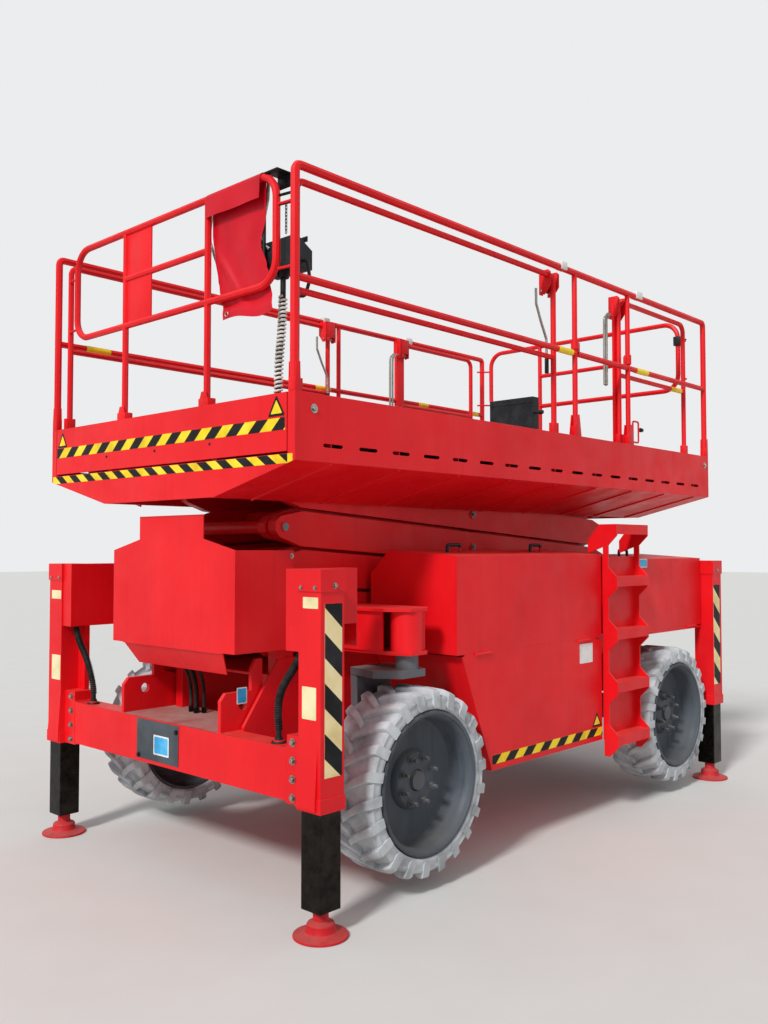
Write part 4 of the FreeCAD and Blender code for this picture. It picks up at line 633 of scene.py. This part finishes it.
def addEndLoop(mesh, x):
    half, top, loopLow, post = rails["loopHalfY"], rails["loopTopZ"], rails["loopLowZ"], rails["loopPostY"]
    fascia, thin = rails["fasciaTop"], rails["loopR"] - 0.001
    addTube(mesh, [(x, -half, top), (x, half, top), (x, half, loopLow), (x, -half, loopLow)], rails["loopR"], 0.115,
            True)
    for y in (-post, post):
        addTube(mesh, [(x, y, rails["footZ"]), (x, y, top)], thin)
        addBox(mesh, (x - 0.024, y - 0.038, fascia), (x + 0.024, y + 0.038, fascia + 0.042), 0.002)
        low, high = fascia + 0.04, fascia + 0.075
        addPlate(mesh, [(x - 0.022, y - 0.030, low), (x - 0.022, y + 0.030, low), (x - 0.022, y + 0.018, high),
                        (x - 0.022, y - 0.018, high)], (0.004, 0, 0), 0.001)
    middle = (top + loopLow) / 2
    addTube(mesh, [(x, -post, middle), (x, post, middle)], thin)


def buildExtensionRails(name, x0, x1, loopX, body, nodes, bend):
    mesh = bmesh.new()
    fascia, top, mid = rails["fasciaTop"], rails["innerTopZ"], rails["innerMidZ"]
    for side in (-1, 1):
        y = side * rails["innerY"]
        addTube(mesh, [(x0, y, fascia - 0.018), (x0, y, top), (x1, y, top), (x1, y, fascia - 0.018)],
                rails["innerR"], bend)
        addTube(mesh, [(x0, y, mid), (x1, y, mid)], rails["innerR"] - 0.001)
        for x in (x0, x1):
            addBox(mesh, (x - 0.028, y - 0.0175, fascia - 0.020), (x + 0.028, y + 0.0175, fascia + 0.07), 0.003)
        near = x0 if loopX < 0 else x1
        for z in (rails["loopTopZ"] - 0.15, rails["loopLowZ"] + 0.06):
            addRod(mesh, (loopX, side * (rails["loopHalfY"] + 0.012), z),
                   ((near + loopX) / 2, side * (rails["innerY"] - 0.012), z), 0.007, 10)
        if loopX > 0:
            y0, y1 = sorted((y - side * 0.026, y - side * 0.014))
            addBox(mesh, (x0 - 0.040, y0, fascia - 0.02), (x0 + 0.040, y1, top - 0.02), 0.002)
    addEndLoop(mesh, loopX)
    if loopX < 0:
        addBox(mesh, (loopX - 0.004, 0.120, rails["loopLowZ"]), (loopX + 0.004, rails["loopPostY"], rails["loopTopZ"]),
               0.0015)
    finishPiece(name, mesh, "redEnamel", body, nodes, 40.0)


for sideName, side in sides:
    buildMainRails(sideName, side)
buildEntryBar()
buildExtensionRails("front_rails_tubes", -rails["loopX"] + 0.020, rails["frontPostX"], -rails["loopX"],
                    "front_extension", ("front_rails", "front_loop"), 0.040)
buildExtensionRails("rear_rails_tubes", rails["rearFlatX"], rails["rearPostX"], rails["rearLoopX"],
                    "rear_extension", ("rear_rails", "rear_loop"), 0.060)
print("rails")


# films: labels, hazard bands and warning triangles
film = {"thick": 0.0008, "ink": 0.0004, "corner": 0.004, "hazardShare": 0.5, "sliver": 0.004}
# the two directions of a surface, whose cross product points away from the machine
front, near, far = ((0, -1, 0), (0, 0, 1)), ((1, 0, 0), (0, 0, 1)), ((-1, 0, 0), (0, 0, 1))
nearDown, farUp = ((0, 0, -1), (1, 0, 0)), ((0, 0, 1), (1, 0, 0))


def addFilm(mesh, outline, at, ways, lift=0.0, thick=film["thick"], corner=0.0):
    along, up = Vector(ways[0]), Vector(ways[1])
    out = along.cross(up)
    points = [Vector(at) + along * u + up * v + out * lift for u, v in outline]
    addPlate(mesh, roundedRoute(points, corner, True, 3) if corner else points, out * thick)


def oblong(length, height):
    return [(0, 0), (length, 0), (length, height), (0, height)]


def trimmed(outline, limit, keepAbove):
    # outline cut off at one value of its first coordinate
    kept = []
    for (u0, v0), (u1, v1) in zip(outline, outline[1:] + outline[:1]):
        inside0, inside1 = (u0 >= limit) == keepAbove, (u1 >= limit) == keepAbove
        if inside0:
            kept.append((u0, v0))
        if inside0 != inside1:
            kept.append((limit, v0 + (v1 - v0) * (limit - u0) / (u1 - u0)))
    return kept


# name, body, low corner, directions, length, height, pitch, lean, ground, cut corner
bands = [
    ("panelBand", "front_extension", (-2.045, 0.990, 2.166), front, 1.976, 0.054, 0.162, 0.060, "hazardYellow", 0.0),
    ("hullBand", "platform", (-2.045, 1.035, 2.0195), front, 2.070, 0.0405, 0.150, -0.060, "hazardYellow", 0.033),
    ("sillBandRight", "chassis", (-0.673, -1.070, 0.515), near, 1.125, 0.047, 0.165, 0.050, "hazardYellow", 0.0),
    ("sillBandLeft", "chassis", (0.452, 1.070, 0.515), far, 1.125, 0.047, 0.165, 0.050, "hazardYellow", 0.0),
]
for end, x, top, length in (("Front", -1.968, 1.416, 0.734), ("Rear", 1.860, 1.389, 0.709)):
    for sideName, y, z, ways in (("Right", -1.1575, top, nearDown), ("Left", 1.1575, top - length, farUp)):
        bands.append(("board" + end + sideName, "chassis", (x, y, z), ways, length, 0.102, 0.212, 0.090,
                      "creamBoard", 0.0))
for name, body, at, ways, length, height, pitch, lean, ground, cut in bands:
    plate, ink = bmesh.new(), bmesh.new()
    rise = cut * 0.26
    shape = [(cut, 0), (length - cut, 0), (length, rise), (length, height), (0, height), (0, rise)]
    addFilm(plate, shape if cut else oblong(length, height), at, ways)
    wide = pitch * film["hazardShare"]
    u = -abs(lean)
    while u < length + abs(lean):
        stripe = [(u, 0), (u + wide, 0), (u + wide + lean, height), (u + lean, height)]
        stripe = trimmed(trimmed(stripe, cut, True), length - cut, False)
        if len(stripe) > 2 and max(p[0] for p in stripe) - min(p[0] for p in stripe) > film["sliver"]:
            addFilm(ink, stripe, at, ways, film["thick"], film["ink"])
        u += pitch
    finishPiece(name + "_ground", plate, ground, body)
    finishPiece(name + "_stripes", ink, "hazardBlack", body)

# piece, body, finish, and each label's low corner, directions, width, height, and lift and thickness if not the usual
labels = [
    ("legLabels", "chassis", "blankLabel", [
        ((-1.9915, -1.046, 1.395), front, 0.095, 0.048), ((-1.9915, -1.042, 0.924), front, 0.088, 0.138),
        ((-1.9915, 1.133, 1.359), front, 0.106, 0.049), ((-1.9915, 1.123, 0.894), front, 0.097, 0.142)]),
    ("beamPlate", "chassis", "greenGrey", [((-1.962, 0.268, 0.565), front, 0.368, 0.203, 0.0, 0.0030)]),
    ("whiteLabels", "chassis", "whiteLabel", [
        ((-1.962, 0.114, 0.600), front, 0.134, 0.100, 0.0030, 0.0008), ((-1.862, -0.432, 0.900), near, 0.062, 0.079),
        ((0.200, -1.070, 0.965), near, 0.145, 0.115), ((-0.055, 1.070, 0.965), far, 0.145, 0.115)]),
    ("blueLabels", "chassis", "blueLabel", [
        ((-1.962, 0.106, 0.608), front, 0.118, 0.084, 0.0038, 0.0004),
        ((-1.857, -0.432, 0.905), near, 0.052, 0.069, 0.0008, 0.0004)]),
    ("coverLabel", "rear_cover_right", "whiteLabel", [((0.885, -1.070, 1.525), near, 0.160, 0.057)]),
    ("coverLabelBlue", "rear_cover_right", "blueLabel", [((0.890, -1.070, 1.530), near, 0.150, 0.047, 0.0008, 0.0004)]),
]
for name, body, finish, rows in labels:
    mesh = bmesh.new()
    for at, ways, width, height, *layer in rows:
        lift, thick = layer or (0.0, film["thick"])
        addFilm(mesh, oblong(width, height), at, ways, lift, thick, film["corner"])
    finishPiece(name, mesh, finish, body)

# name, body, left end of the base, directions, width, height
warnings = [
    ("panelWarningLeft", "front_extension", (-2.045, 0.984, 2.224), front, 0.105, 0.088),
    ("panelWarningRight", "front_extension", (-2.045, -0.871, 2.228), front, 0.115, 0.094),
    ("legWarningRight", "chassis", (-1.9915, -1.050, 0.556), front, 0.057, 0.051),
    ("legWarningLeft", "chassis", (-1.9915, 1.107, 0.556), front, 0.057, 0.051),
    ("trayWarning", "chassis", (0.335, -1.070, 0.572), near, 0.110, 0.085),
]
for name, body, at, ways, width, height in warnings:
    edge = width * 0.10
    back, face = bmesh.new(), bmesh.new()
    addFilm(back, [(0, 0), (width, 0), (width / 2, height)], at, ways, 0.0, film["thick"], width * 0.04)
    addFilm(face, [(edge * 1.7, edge), (width - edge * 1.7, edge), (width / 2, height - edge * 1.9)], at, ways,
            film["thick"], film["ink"], width * 0.02)
    finishPiece(name + "_edge", back, "hazardBlack", body)
    finishPiece(name + "_face", face, "hazardYellow", body)
print("films")


# bolts: piece, body, finish, places, way, radius, washer, height
bolts = [
    ("plateBolts", "chassis", "blackPlastic", [(-1.965, -0.083, 0.735), (-1.965, 0.250, 0.580)], (-1, 0, 0), 0.010,
     0.014, 0.008),
    ("panelRivets", "front_extension", "blackPlastic", [(-2.045, y, 2.142) for y in (0.461, 0.009, -0.448)],
     (-1, 0, 0), 0.005, 0.007, 0.002),
]
for flange, cap, way in (("flangeBolts", "capBolts", -1), ("rearFlangeBolts", "rearCapBolts", 1)):
    bolts += [
        (flange, "chassis", "zincPlate", [(way * 1.962, y, z) for y in (-0.950, 0.950)
                                          for z in (0.805, 0.725, 0.645, 0.565)], (way, 0, 0), 0.013, 0.019, 0.010),
        (cap, "chassis", "zincPlate", [(way * 1.9975, y, 1.483) for y in (-1.040, -1.128, 1.040, 1.128)],
         (way, 0, 0), 0.007, 0.010, 0.006)]
for sideName, side in (("Right", -1), ("Left", 1)):
    bolts += [
        ("capPins" + sideName, "chassis", "zincPlate", [(x, side * 1.1635, 1.492) for x in (-1.915, 1.915)],
         (0, side, 0), 0.009, 0.013, 0.008),
        ("hoodBolts" + sideName, "chassis", "zincPlate", [(-1.599, side * 0.528, z) for z in (1.613, 1.215)],
         (0, side, 0), 0.008, 0.013, 0.006),
        ("fasciaBolts" + sideName, "platform", "zincPlate", [(x, side * 1.050, 2.262) for x in (-1.934, 1.980)],
         (0, side, 0), 0.012, 0.021, 0.008)]
for name, body, finish, places, way, radius, washer, height in bolts:
    mesh = bmesh.new()
    for at in places:
        addBolt(mesh, at, way, radius, washer, height)
    finishPiece(name, mesh, finish, body)

armPin = {"x": 1.5567, "firstZ": 1.155, "firstCrossZ": 1.256, "rise": 0.202, "headY": 0.431, "radius": 0.021,
          "thick": 0.004}
for stage in range(4):
    mesh = bmesh.new()
    z = armPin["firstCrossZ"] + armPin["rise"] * stage
    low = armPin["firstZ"] + armPin["rise"] * stage
    # middle and rear pins, and the front ones that join the next stage
    heads = [(0, z), (armPin["x"], low)] + ([(-armPin["x"], low + armPin["rise"])] if stage < 3 else [])
    for side in (-1, 1):
        y0, y1 = side * (armPin["headY"] - 0.001), side * (armPin["headY"] + armPin["thick"])
        for headX, headZ in heads:
            addRod(mesh, (headX, y0, headZ), (headX, y1, headZ), armPin["radius"], 20)
        addRod(mesh, (0, y1, z), (0, y1 + side * 0.008, z), 0.011, 6)
    finishPiece("arm_pin_caps_%d" % (stage + 1), mesh, "galvanisedSheet", "outer_arm_%d" % (stage + 1))

# tape sleeves on the middle rails: piece, body, y, z, rail radius, from and to
sleeves = [
    ("railTapes", "platform", rails["outerY"], rails["midZ"], rails["outerR"] - 0.002,
     [(-1.855, -1.695), (-0.006, 0.146), (1.150, 1.270), (1.830, 1.950)]),
    ("railTapesNear", "platform", -rails["outerY"], rails["midZ"], rails["outerR"] - 0.002,
     [(0.049, 0.204), (0.996, 1.149)]),
    ("innerRailTape", "rear_extension", -rails["innerY"], rails["innerMidZ"], rails["innerR"] - 0.001,
     [(1.593, 1.751)]),
]
for name, body, y, z, radius, spans in sleeves:
    mesh = bmesh.new()
    for x0, x1 in spans:
        addRod(mesh, (x0, y, z), (x1, y, z), radius + 0.0010, 24)
    finishPiece(name, mesh, "hazardYellow", body)
print("bolts, pins and tapes")


# rail latches: folded red housing, sprung pin and a release bar
latch = {"low": 3.168, "high": 3.312, "halfX": 0.048, "inner": 0.922, "outer": 1.003, "sheet": 0.005, "barR": 0.008,
         "barY": 0.948, "springR": 0.013, "springPitch": 0.011, "wire": 0.0024, "turns": 7, "perTurn": 12}


def spring(x, y, z):
    # points of the helix round a latch's pin
    angles = [2 * math.pi * i / latch["perTurn"] for i in range(latch["turns"] * latch["perTurn"] + 1)]
    return [(x + latch["springR"] * math.cos(angle), y + latch["springR"] * math.sin(angle),
             z + latch["springPitch"] * angle / (2 * math.pi)) for angle in angles]


def buildLatch(name, body, x, side, bar, hairpin):
    shell, pins, dark = bmesh.new(), bmesh.new(), bmesh.new()
    low, high, half, barR = latch["low"], latch["high"], latch["halfX"], latch["barR"]
    inner, outer, barY = side * latch["inner"], side * latch["outer"], side * latch["barY"]
    for end in (-1, 1):
        outline = [(inner, low), ((inner + outer) / 2, low - 0.004), (outer, low + 0.050), (outer, high - 0.016),
                   (outer - side * 0.016, high), (inner, high)]
        addPlate(shell, [(x + end * half, y, z) for y, z in outline], (-end * latch["sheet"], 0, 0), 0.001)
    y0, y1 = sorted((inner, inner + side * latch["sheet"]))
    addBox(shell, (x - half, y0, low + 0.030), (x + half, y1, high), 0.001)
    addBox(shell, (x - half, y0, low), (x - 0.012, y1, low + 0.034), 0.001)
    pinX, pinY = x - 0.024, side * (latch["inner"] + 0.022)
    addRod(pins, (pinX, pinY, low + 0.012), (pinX, pinY, high - 0.010), 0.007, 14)
    addTube(pins, spring(pinX, pinY, low + 0.030), latch["wire"], sides=8)
    addRod(pins, (x - half - 0.009, pinY, low + 0.020), (x + half + 0.009, pinY, low + 0.020), 0.006, 12)
    addBox(dark, (x - 0.034, pinY - 0.012, high - 0.030), (x - 0.006, pinY + 0.012, high - 0.006), 0.003)
    for shift in ((-0.015, 0.015) if hairpin else (0.0,)):
        addTube(pins, [(bx + shift, barY, bz) for bx, bz in bar], barR, 0.020)
    endX, endZ = bar[-1]
    if hairpin:
        addTube(pins, [(endX - 0.015, barY, endZ + 0.02), (endX - 0.015, barY, endZ), (endX + 0.015, barY, endZ),
                       (endX + 0.015, barY, endZ + 0.02)], barR, 0.010)
    else:
        addRod(dark, (endX, barY, endZ - 0.004), (endX, barY, endZ + 0.085), 0.0125, 14)
    finishPiece(name + "_housing", shell, "redEnamel", body)
    finishPiece(name + "_pins", pins, "zincPlate", body)
    finishPiece(name + "_block", dark, "blackPlastic", body)


frontBar = [(-0.057, 3.190), (-0.055, 3.100), (-0.008, 3.004), (0.050, 2.906), (0.053, 2.702)]
rearBar = [(0.790, 3.190), (0.745, 3.150), (0.743, 3.040), (0.743, 2.717)]
for sideName, side in sides:
    buildLatch("front_latch_" + sideName, "front_extension", 0.062, side, frontBar, False)
    buildLatch("rear_latch_" + sideName, "rear_extension", 0.878, side, rearBar, True)
    mesh = bmesh.new()
    for x0, x1 in ((0.067, 0.128), (0.980, 1.060)):
        y0, y1 = sorted((side * 1.0025, side * 1.0515))
        addBox(mesh, (x0, y0, rails["topZ"] - 0.014), (x1, y1, rails["topZ"] + 0.034), 0.004)
    finishPiece("slide_blocks_" + sideName, mesh, "whiteNylon", "platform")

# pins from the front loop to its post, and a chain of nine links beside them
mesh = bmesh.new()
for z in (3.232, 3.190):
    addRod(mesh, (-1.998, -0.868, z), (-1.982, -0.966, z), 0.0065, 12)
for link in range(9):
    z = 3.184 - link * 0.0155
    dx, dy = (0.0045, 0) if link % 2 else (0, 0.0045)
    addTube(mesh, [(-1.990 + way * dx, -0.925 + way * dy, z + rise)
                   for way, rise in ((-1, 0.010), (1, 0.010), (1, -0.010), (-1, -0.010))], 0.0018, 0.0042, True, 8)
finishPiece("loop_pins_and_chain", mesh, "greasedSteel", "front_extension")

# piece, finish, body and its tubes, rods and boxes
barX, barR = -1.950, 0.0085
fittings = [
    ("entry_lock_ring", "redEnamel", "platform", [
        (addTube, [(0.945, -1.030, 2.352), (1.020, -1.030, 2.352), (1.020, -1.030, 2.490), (0.945, -1.030, 2.490)],
         0.006, 0.014, True)]),
    ("entry_lock_knob", "blackPlastic", "platform", [
        (addRod, (1.020, -1.030, 2.440), (1.052, -1.030, 2.440), 0.007, 14),
        (addRod, (1.048, -1.030, 2.440), (1.072, -1.030, 2.440), 0.015, 18, 0.012)]),
    ("rear_loop_clamp", "blackPlastic", "rear_extension", [
        (addBox, (1.922, -0.894, 3.170), (1.978, -0.842, 3.240), 0.006),
        (addRod, (1.950, -0.894, 3.205), (1.950, -0.916, 3.205), 0.006, 12),
        (addRod, (1.950, -0.910, 3.205), (1.950, -0.928, 3.205), 0.014, 16, 0.012)]),
    ("control_box_bars", "zincPlate", "front_extension", [
        (addTube, [(-1.975, -0.762, 3.356), (barX, -0.755, 3.335), (barX, -0.750, 3.262), (barX, -0.699, 3.098),
                   (barX, -0.712, 3.062), (-1.944, -0.758, 3.027)], barR, 0.010),
        (addTube, [(-1.975, -0.338, 3.362), (barX, -0.328, 3.330), (barX, -0.323, 3.272), (barX, -0.304, 3.175),
                   (-1.948, -0.369, 3.041), (-1.930, -0.520, 2.985), (-1.905, -0.690, 2.975)], barR, 0.010)]),
    ("control_box_fittings", "blackPlastic", "front_extension", [
        (addBox, (-2.016, -0.892, 3.3500), (-1.928, -0.796, 3.3533), 0.001),
        (addBox, (-1.9312, -0.892, 3.290), (-1.928, -0.796, 3.3533), 0.001),
        (addTube, [(-1.880, -0.900, 2.962), (-1.880, -0.945, 2.952), (-1.880, -0.962, 2.860), (-1.880, -0.930, 2.790),
                   (-1.880, -0.880, 2.800)], 0.008, 0.022),
        (addBox, (-1.835, -0.892, 3.060), (-1.829, -0.700, 3.085), 0.001),
        (addRod, (-1.824, -0.850, 3.000), (-1.810, -0.850, 3.000), 0.011, 16, 0.009),
        (addRod, (-1.824, -0.800, 3.000), (-1.810, -0.800, 3.000), 0.011, 16, 0.009),
        (addRod, (-1.824, -0.750, 3.000), (-1.810, -0.750, 3.000), 0.011, 16, 0.009)]),
    ("stop_button", "redKnob", "front_extension", [
        (addRod, (-1.824, -0.710, 3.000), (-1.808, -0.710, 3.000), 0.010, 16),
        (addRod, (-1.810, -0.710, 3.000), (-1.800, -0.710, 3.000), 0.018, 20, 0.016)]),
    ("manual_box_latch", "blackPlastic", "rear_extension", [
        (addRod, (1.062, -0.178, 2.640), (1.062, -0.232, 2.640), 0.008, 12),
        (addRod, (1.062, -0.224, 2.640), (1.062, -0.252, 2.640), 0.017, 18, 0.014),
        (addBox, (1.036, -0.176, 2.715), (1.124, 0.206, 2.722), 0.002)]),
]
for name, finish, body, shapes in fittings:
    mesh = bmesh.new()
    for shape, *sizes in shapes:
        shape(mesh, *sizes)
    finishPiece(name, mesh, finish, body)

# control box, shelf and bars of the frame, cut off under the cover that hides their hook
mesh = roundedCopy("control_box", 0.004)
bmesh.ops.bisect_plane(mesh, geom=mesh.verts[:] + mesh.edges[:] + mesh.faces[:], plane_co=(0, 0, 3.350),
                       plane_no=(0, 0, 1), clear_outer=True)
bmesh.ops.holes_fill(mesh, edges=[edge for edge in mesh.edges if edge.is_boundary])
weighFlats(finishPiece("control_box_case", mesh, "blackPlastic", "front_extension", ("control_box",), 30.0,
                       "box_black"))
print("latches and control box")


# red coated cover hung over the loop's top tube, 1.5 mm thick
cover = {"thick": 0.0015, "tubeX": -1.998, "tubeZ": 3.343, "wrapR": 0.0200, "flap": 0.098, "bottomZ": 2.727,
         "across": 44, "along": 110, "wave": 0.007, "swing": 0.016, "crease": 0.011, "creaseTopZ": 3.154,
         "creaseLowZ": 2.877, "creaseLong": 1.45, "hemZ": 2.812}
# height, left edge and right edge of the cover
coverEdges = [(3.380, -0.372, -0.782), (3.320, -0.369, -0.772), (3.178, -0.370, -0.766), (3.054, -0.390, -0.728),
              (2.940, -0.412, -0.772), (2.906, -0.421, -0.788), (2.720, -0.474, -0.838)]


def coverY(z, u):
    # place across the cover at a height, u of the way from its left edge to its right
    left, right = coverEdges[0][1:] if z >= coverEdges[0][0] else coverEdges[-1][1:]
    for (z0, left0, right0), (z1, left1, right1) in zip(coverEdges, coverEdges[1:]):
        if z0 > z >= z1:
            share = (z0 - z) / (z0 - z1)
            share = share * share * (3 - 2 * share)
            left, right = left0 + (left1 - left0) * share, right0 + (right1 - right0) * share
    return left + (right - left) * u


def coverPoint(u, v):
    # u from the left edge to the right, v from the outer hem over the tube and down the inner side
    flap, wrapR, tubeX, tubeZ = cover["flap"], cover["wrapR"], cover["tubeX"], cover["tubeZ"]
    arc = math.pi * wrapR
    run = v * (flap + arc + tubeZ - cover["bottomZ"])
    if run < flap:
        z = tubeZ - flap + run
        return Vector((tubeX - wrapR - 0.003 * math.sin(u * 9) * (1 - run / flap), coverY(z, u), z))
    if run < flap + arc:
        turn = (run - flap) / wrapR
        z = tubeZ + wrapR * math.sin(turn)
        return Vector((tubeX - wrapR * math.cos(turn), coverY(z, u), z))
    fall = run - flap - arc
    z = tubeZ - fall
    y = coverY(z, u)
    folds = 0.5 + 0.5 * math.sin(u * 11.0 + 2.2 * math.sin(fall * 6.0) + 1.0)
    x = tubeX + wrapR + 0.001 + cover["wave"] * min(1.0, fall / 0.25) * folds
    # the corner turned up along a slanted crease
    along = (cover["creaseTopZ"] - z) / (cover["creaseTopZ"] - cover["creaseLowZ"])
    if 0 < along < cover["creaseLong"]:
        crease = math.exp(-((y - (-0.361 - 0.197 * along)) / 0.022) ** 2) * math.sin(math.pi * along
                                                                                   / cover["creaseLong"])
        x -= cover["crease"] * crease * (1.0 if abs(y + 0.362) > 0.03 else 0.3)
    below = max(0.0, min(1.0, (cover["hemZ"] - z) / 0.060))
    x -= cover["swing"] * below * below * (3 - 2 * below)
    z += 0.014 * below * math.sin(u * 5.5 + 0.6)
    return Vector((x, y, z))


def buildCover():
    mesh = bmesh.new()
    bmesh.ops.create_grid(mesh, x_segments=cover["across"], y_segments=cover["along"], size=0.5)
    for vert in mesh.verts:
        vert.co = coverPoint(vert.co.x + 0.5, vert.co.y + 0.5)
    bmesh.ops.recalc_face_normals(mesh, faces=mesh.faces)
    bmesh.ops.solidify(mesh, geom=mesh.faces[:], thickness=cover["thick"])
    piece = finishPiece("weather_cover_sheet", mesh, "coatedVinyl", "front_extension", ("weather_cover",), 60.0)
    ring = bmesh.new()
    at = coverPoint(0.085, 0.975)
    addTube(ring, [at + Vector((-0.004, 0.011 * math.cos(a), 0.011 * math.sin(a)))
                   for a in [2 * math.pi * i / 20 for i in range(20)]], 0.0028, closed=True, sides=8)
    eyelet = finishPiece("cover_eyelet", ring, "zincPlate", "front_extension")


buildCover()
print("cover")


# cables and hoses
def makeRoute(name, points, radius):
    # smooth spline with the route's points as its control points
    curve, spline = makeCurve(name, "NURBS", points, radius, 4)
    spline.order_u = 3
    spline.use_endpoint_u = True
    spline.resolution_u = 12
    return curve


def wrapAlong(line, radius, pitch, begin, finish, perTurn=12):
    # helix about a line, between two distances along it
    points, travelled, index, side = [], 0.0, 0, None
    for step in range(int((finish - begin) / pitch * perTurn)):
        want = begin + step * pitch / perTurn
        while index < len(line) - 2 and travelled + (line[index + 1] - line[index]).length < want:
            travelled += (line[index + 1] - line[index]).length
            index += 1
        way = (line[index + 1] - line[index]).normalized()
        at = line[index] + way * (want - travelled)
        side = way.orthogonal().normalized() if side is None else (side - way * side.dot(way)).normalized()
        angle = 2 * math.pi * step / perTurn
        points.append(at + side * (radius * math.cos(angle)) + way.cross(side) * (radius * math.sin(angle)))
    return points


def buildCord(name, node, body, points, radius, wrap=None):
    # wrap: finish of the coil round the cord, its wire's radius, its pitch, where it begins and ends
    curve = makeRoute(name, points, radius)
    curve.materials.append(materials["hoseRubber"])
    cord = bpy.data.objects.new(name, curve)
    scene.collection.objects.link(cord)
    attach(cord, body)
    if node:
        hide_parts(node)
    if wrap:
        finish, wireR, pitch, begin, end = wrap
        core = meshOf(makeRoute("core", points, 0.0))
        line = [vert.co.copy() for vert in core.vertices]
        bpy.data.meshes.remove(core)
        mesh = bmesh.new()
        addTube(mesh, wrapAlong(line, radius + wireR * 0.6, pitch, begin, end), wireR, sides=8)
        finishPiece(name + "_wrap", mesh, finish, body)


# the routes are those of the solids
controlRoute = [(-1.898, -0.800, 2.893), (-1.898, -0.800, 2.790), (-1.908, -0.807, 2.690), (-1.925, -0.815, 2.590),
                (-1.940, -0.821, 2.480), (-1.945, -0.824, 2.360), (-1.945, -0.824, 2.215)]
legRoute = [(-1.926, 0.980, 1.310), (-1.926, 0.980, 1.240), (-1.930, 0.958, 1.172), (-1.933, 0.912, 1.108),
            (-1.932, 0.858, 1.050), (-1.927, 0.816, 0.980), (-1.919, 0.799, 0.905), (-1.910, 0.797, 0.845),
            (-1.910, 0.797, 0.789)]
buildCord("control_cable_line", "control_cable", "front_extension", controlRoute, 0.0132,
          ("spiralWrap", 0.0056, 0.0195, 0.085, 0.600))
for sideName, side in sides:
    buildCord("leg_hose_line_" + sideName, "leg_hose_" + sideName, "chassis",
              [(x, side * y, z) for x, y, z in legRoute], 0.0135, ("hoseRubber", 0.0036, 0.0115, 0.012, 0.530))
    mesh = bmesh.new()
    addRod(mesh, (-1.910, side * 0.797, 0.774), (-1.910, side * 0.797, 0.783), 0.036, 28, 0.033)
    addRod(mesh, (-1.910, side * 0.797, 0.783), (-1.910, side * 0.797, 0.800), 0.021, 20, 0.018)
    finishPiece("hose_grommet_" + sideName, mesh, "hoseRubber", "chassis")
# four hydraulic hoses from their nuts on the deck plate up behind the hood's chin
nuts = bmesh.new()
for index, (x, y) in enumerate(((-1.690, 0.176), (-1.672, 0.148), (-1.700, 0.118), (-1.668, 0.090)), 1):
    route = [(x, y, 0.775), (x, y, 0.840), (x - 0.012, y - 0.012, 0.905), (x - 0.045, y - 0.040, 0.975),
             (x - 0.090, y - 0.055, 1.040), (x - 0.150, y - 0.060, 1.085), (-1.897, y - 0.060, 1.110)]
    buildCord("deck_hose_%d" % index, None, "chassis", route, 0.0095)
    addRod(nuts, (x, y, 0.774), (x, y, 0.806), 0.0135, 6)
finishPiece("deck_hose_nuts", nuts, "greasedSteel", "chassis")
print("cords")


# stage
stageLook = {"floor": "D9D8D4", "floorDark": "D2D1CD", "size": 60.0, "sunStrength": 2.5, "sunAngle": 9.0,
             "sunFrom": (-0.76, -0.20, 0.62), "sky": 0.58, "skyColour": "F2F4F8", "backdrop": "ECEDEE"}


def buildStage():
    mesh = bmesh.new()
    bmesh.ops.create_grid(mesh, x_segments=1, y_segments=1, size=stageLook["size"])
    data = bpy.data.meshes.new("floor")
    mesh.to_mesh(data)
    mesh.free()
    floor = bpy.data.objects.new("floor", data)
    scene.collection.objects.link(floor)
    tree, where = startMaterial("paleFloor")
    noise = addNode(tree, "TexNoise", {}, {"Scale": 3.0, "Detail": 6.0}, {"Vector": where})
    tone = addNode(tree, "Mix", rgba, {6: linear(stageLook["floorDark"]), 7: linear(stageLook["floor"])}, {0: noise})
    closeMaterial(tree, {"Roughness": 0.9}, {"Base Color": tone})
    data.materials.append(materials["paleFloor"])
    floor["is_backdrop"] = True
    world = bpy.data.worlds.new("studio")
    scene.world = world
    world.use_nodes = True
    tree = world.node_tree
    tree.nodes.clear()
    # the sky lights the object, and a paler backdrop is what the camera and the gloss see
    path = addNode(tree, "LightPath").outputs
    light = addNode(tree, "Background", {}, {"Color": linear(stageLook["skyColour"]), "Strength": stageLook["sky"]})
    seen = addNode(tree, "Background", {}, {"Color": linear(stageLook["backdrop"]), "Strength": 1.0})
    either = addNode(tree, "Math", {"operation": "MAXIMUM"}, {}, {0: path["Is Camera Ray"], 1: path["Is Glossy Ray"]})
    both = addNode(tree, "MixShader", {}, {}, {0: either, 1: light, 2: seen})
    addNode(tree, "OutputWorld", {}, {}, {"Surface": both})
    lamp = bpy.data.lights.new("softSun", "SUN")
    lamp.energy = stageLook["sunStrength"]
    lamp.angle = math.radians(stageLook["sunAngle"])
    sun = bpy.data.objects.new("softSun", lamp)
    sun.rotation_euler = Vector(stageLook["sunFrom"]).to_track_quat("Z", "Y").to_euler()
    scene.collection.objects.link(sun)


buildCamera()
buildStage()
print("stage")

sizes = {"cad": [list(corner) for corner in cadBox], "visual": [list(corner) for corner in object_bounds()]}
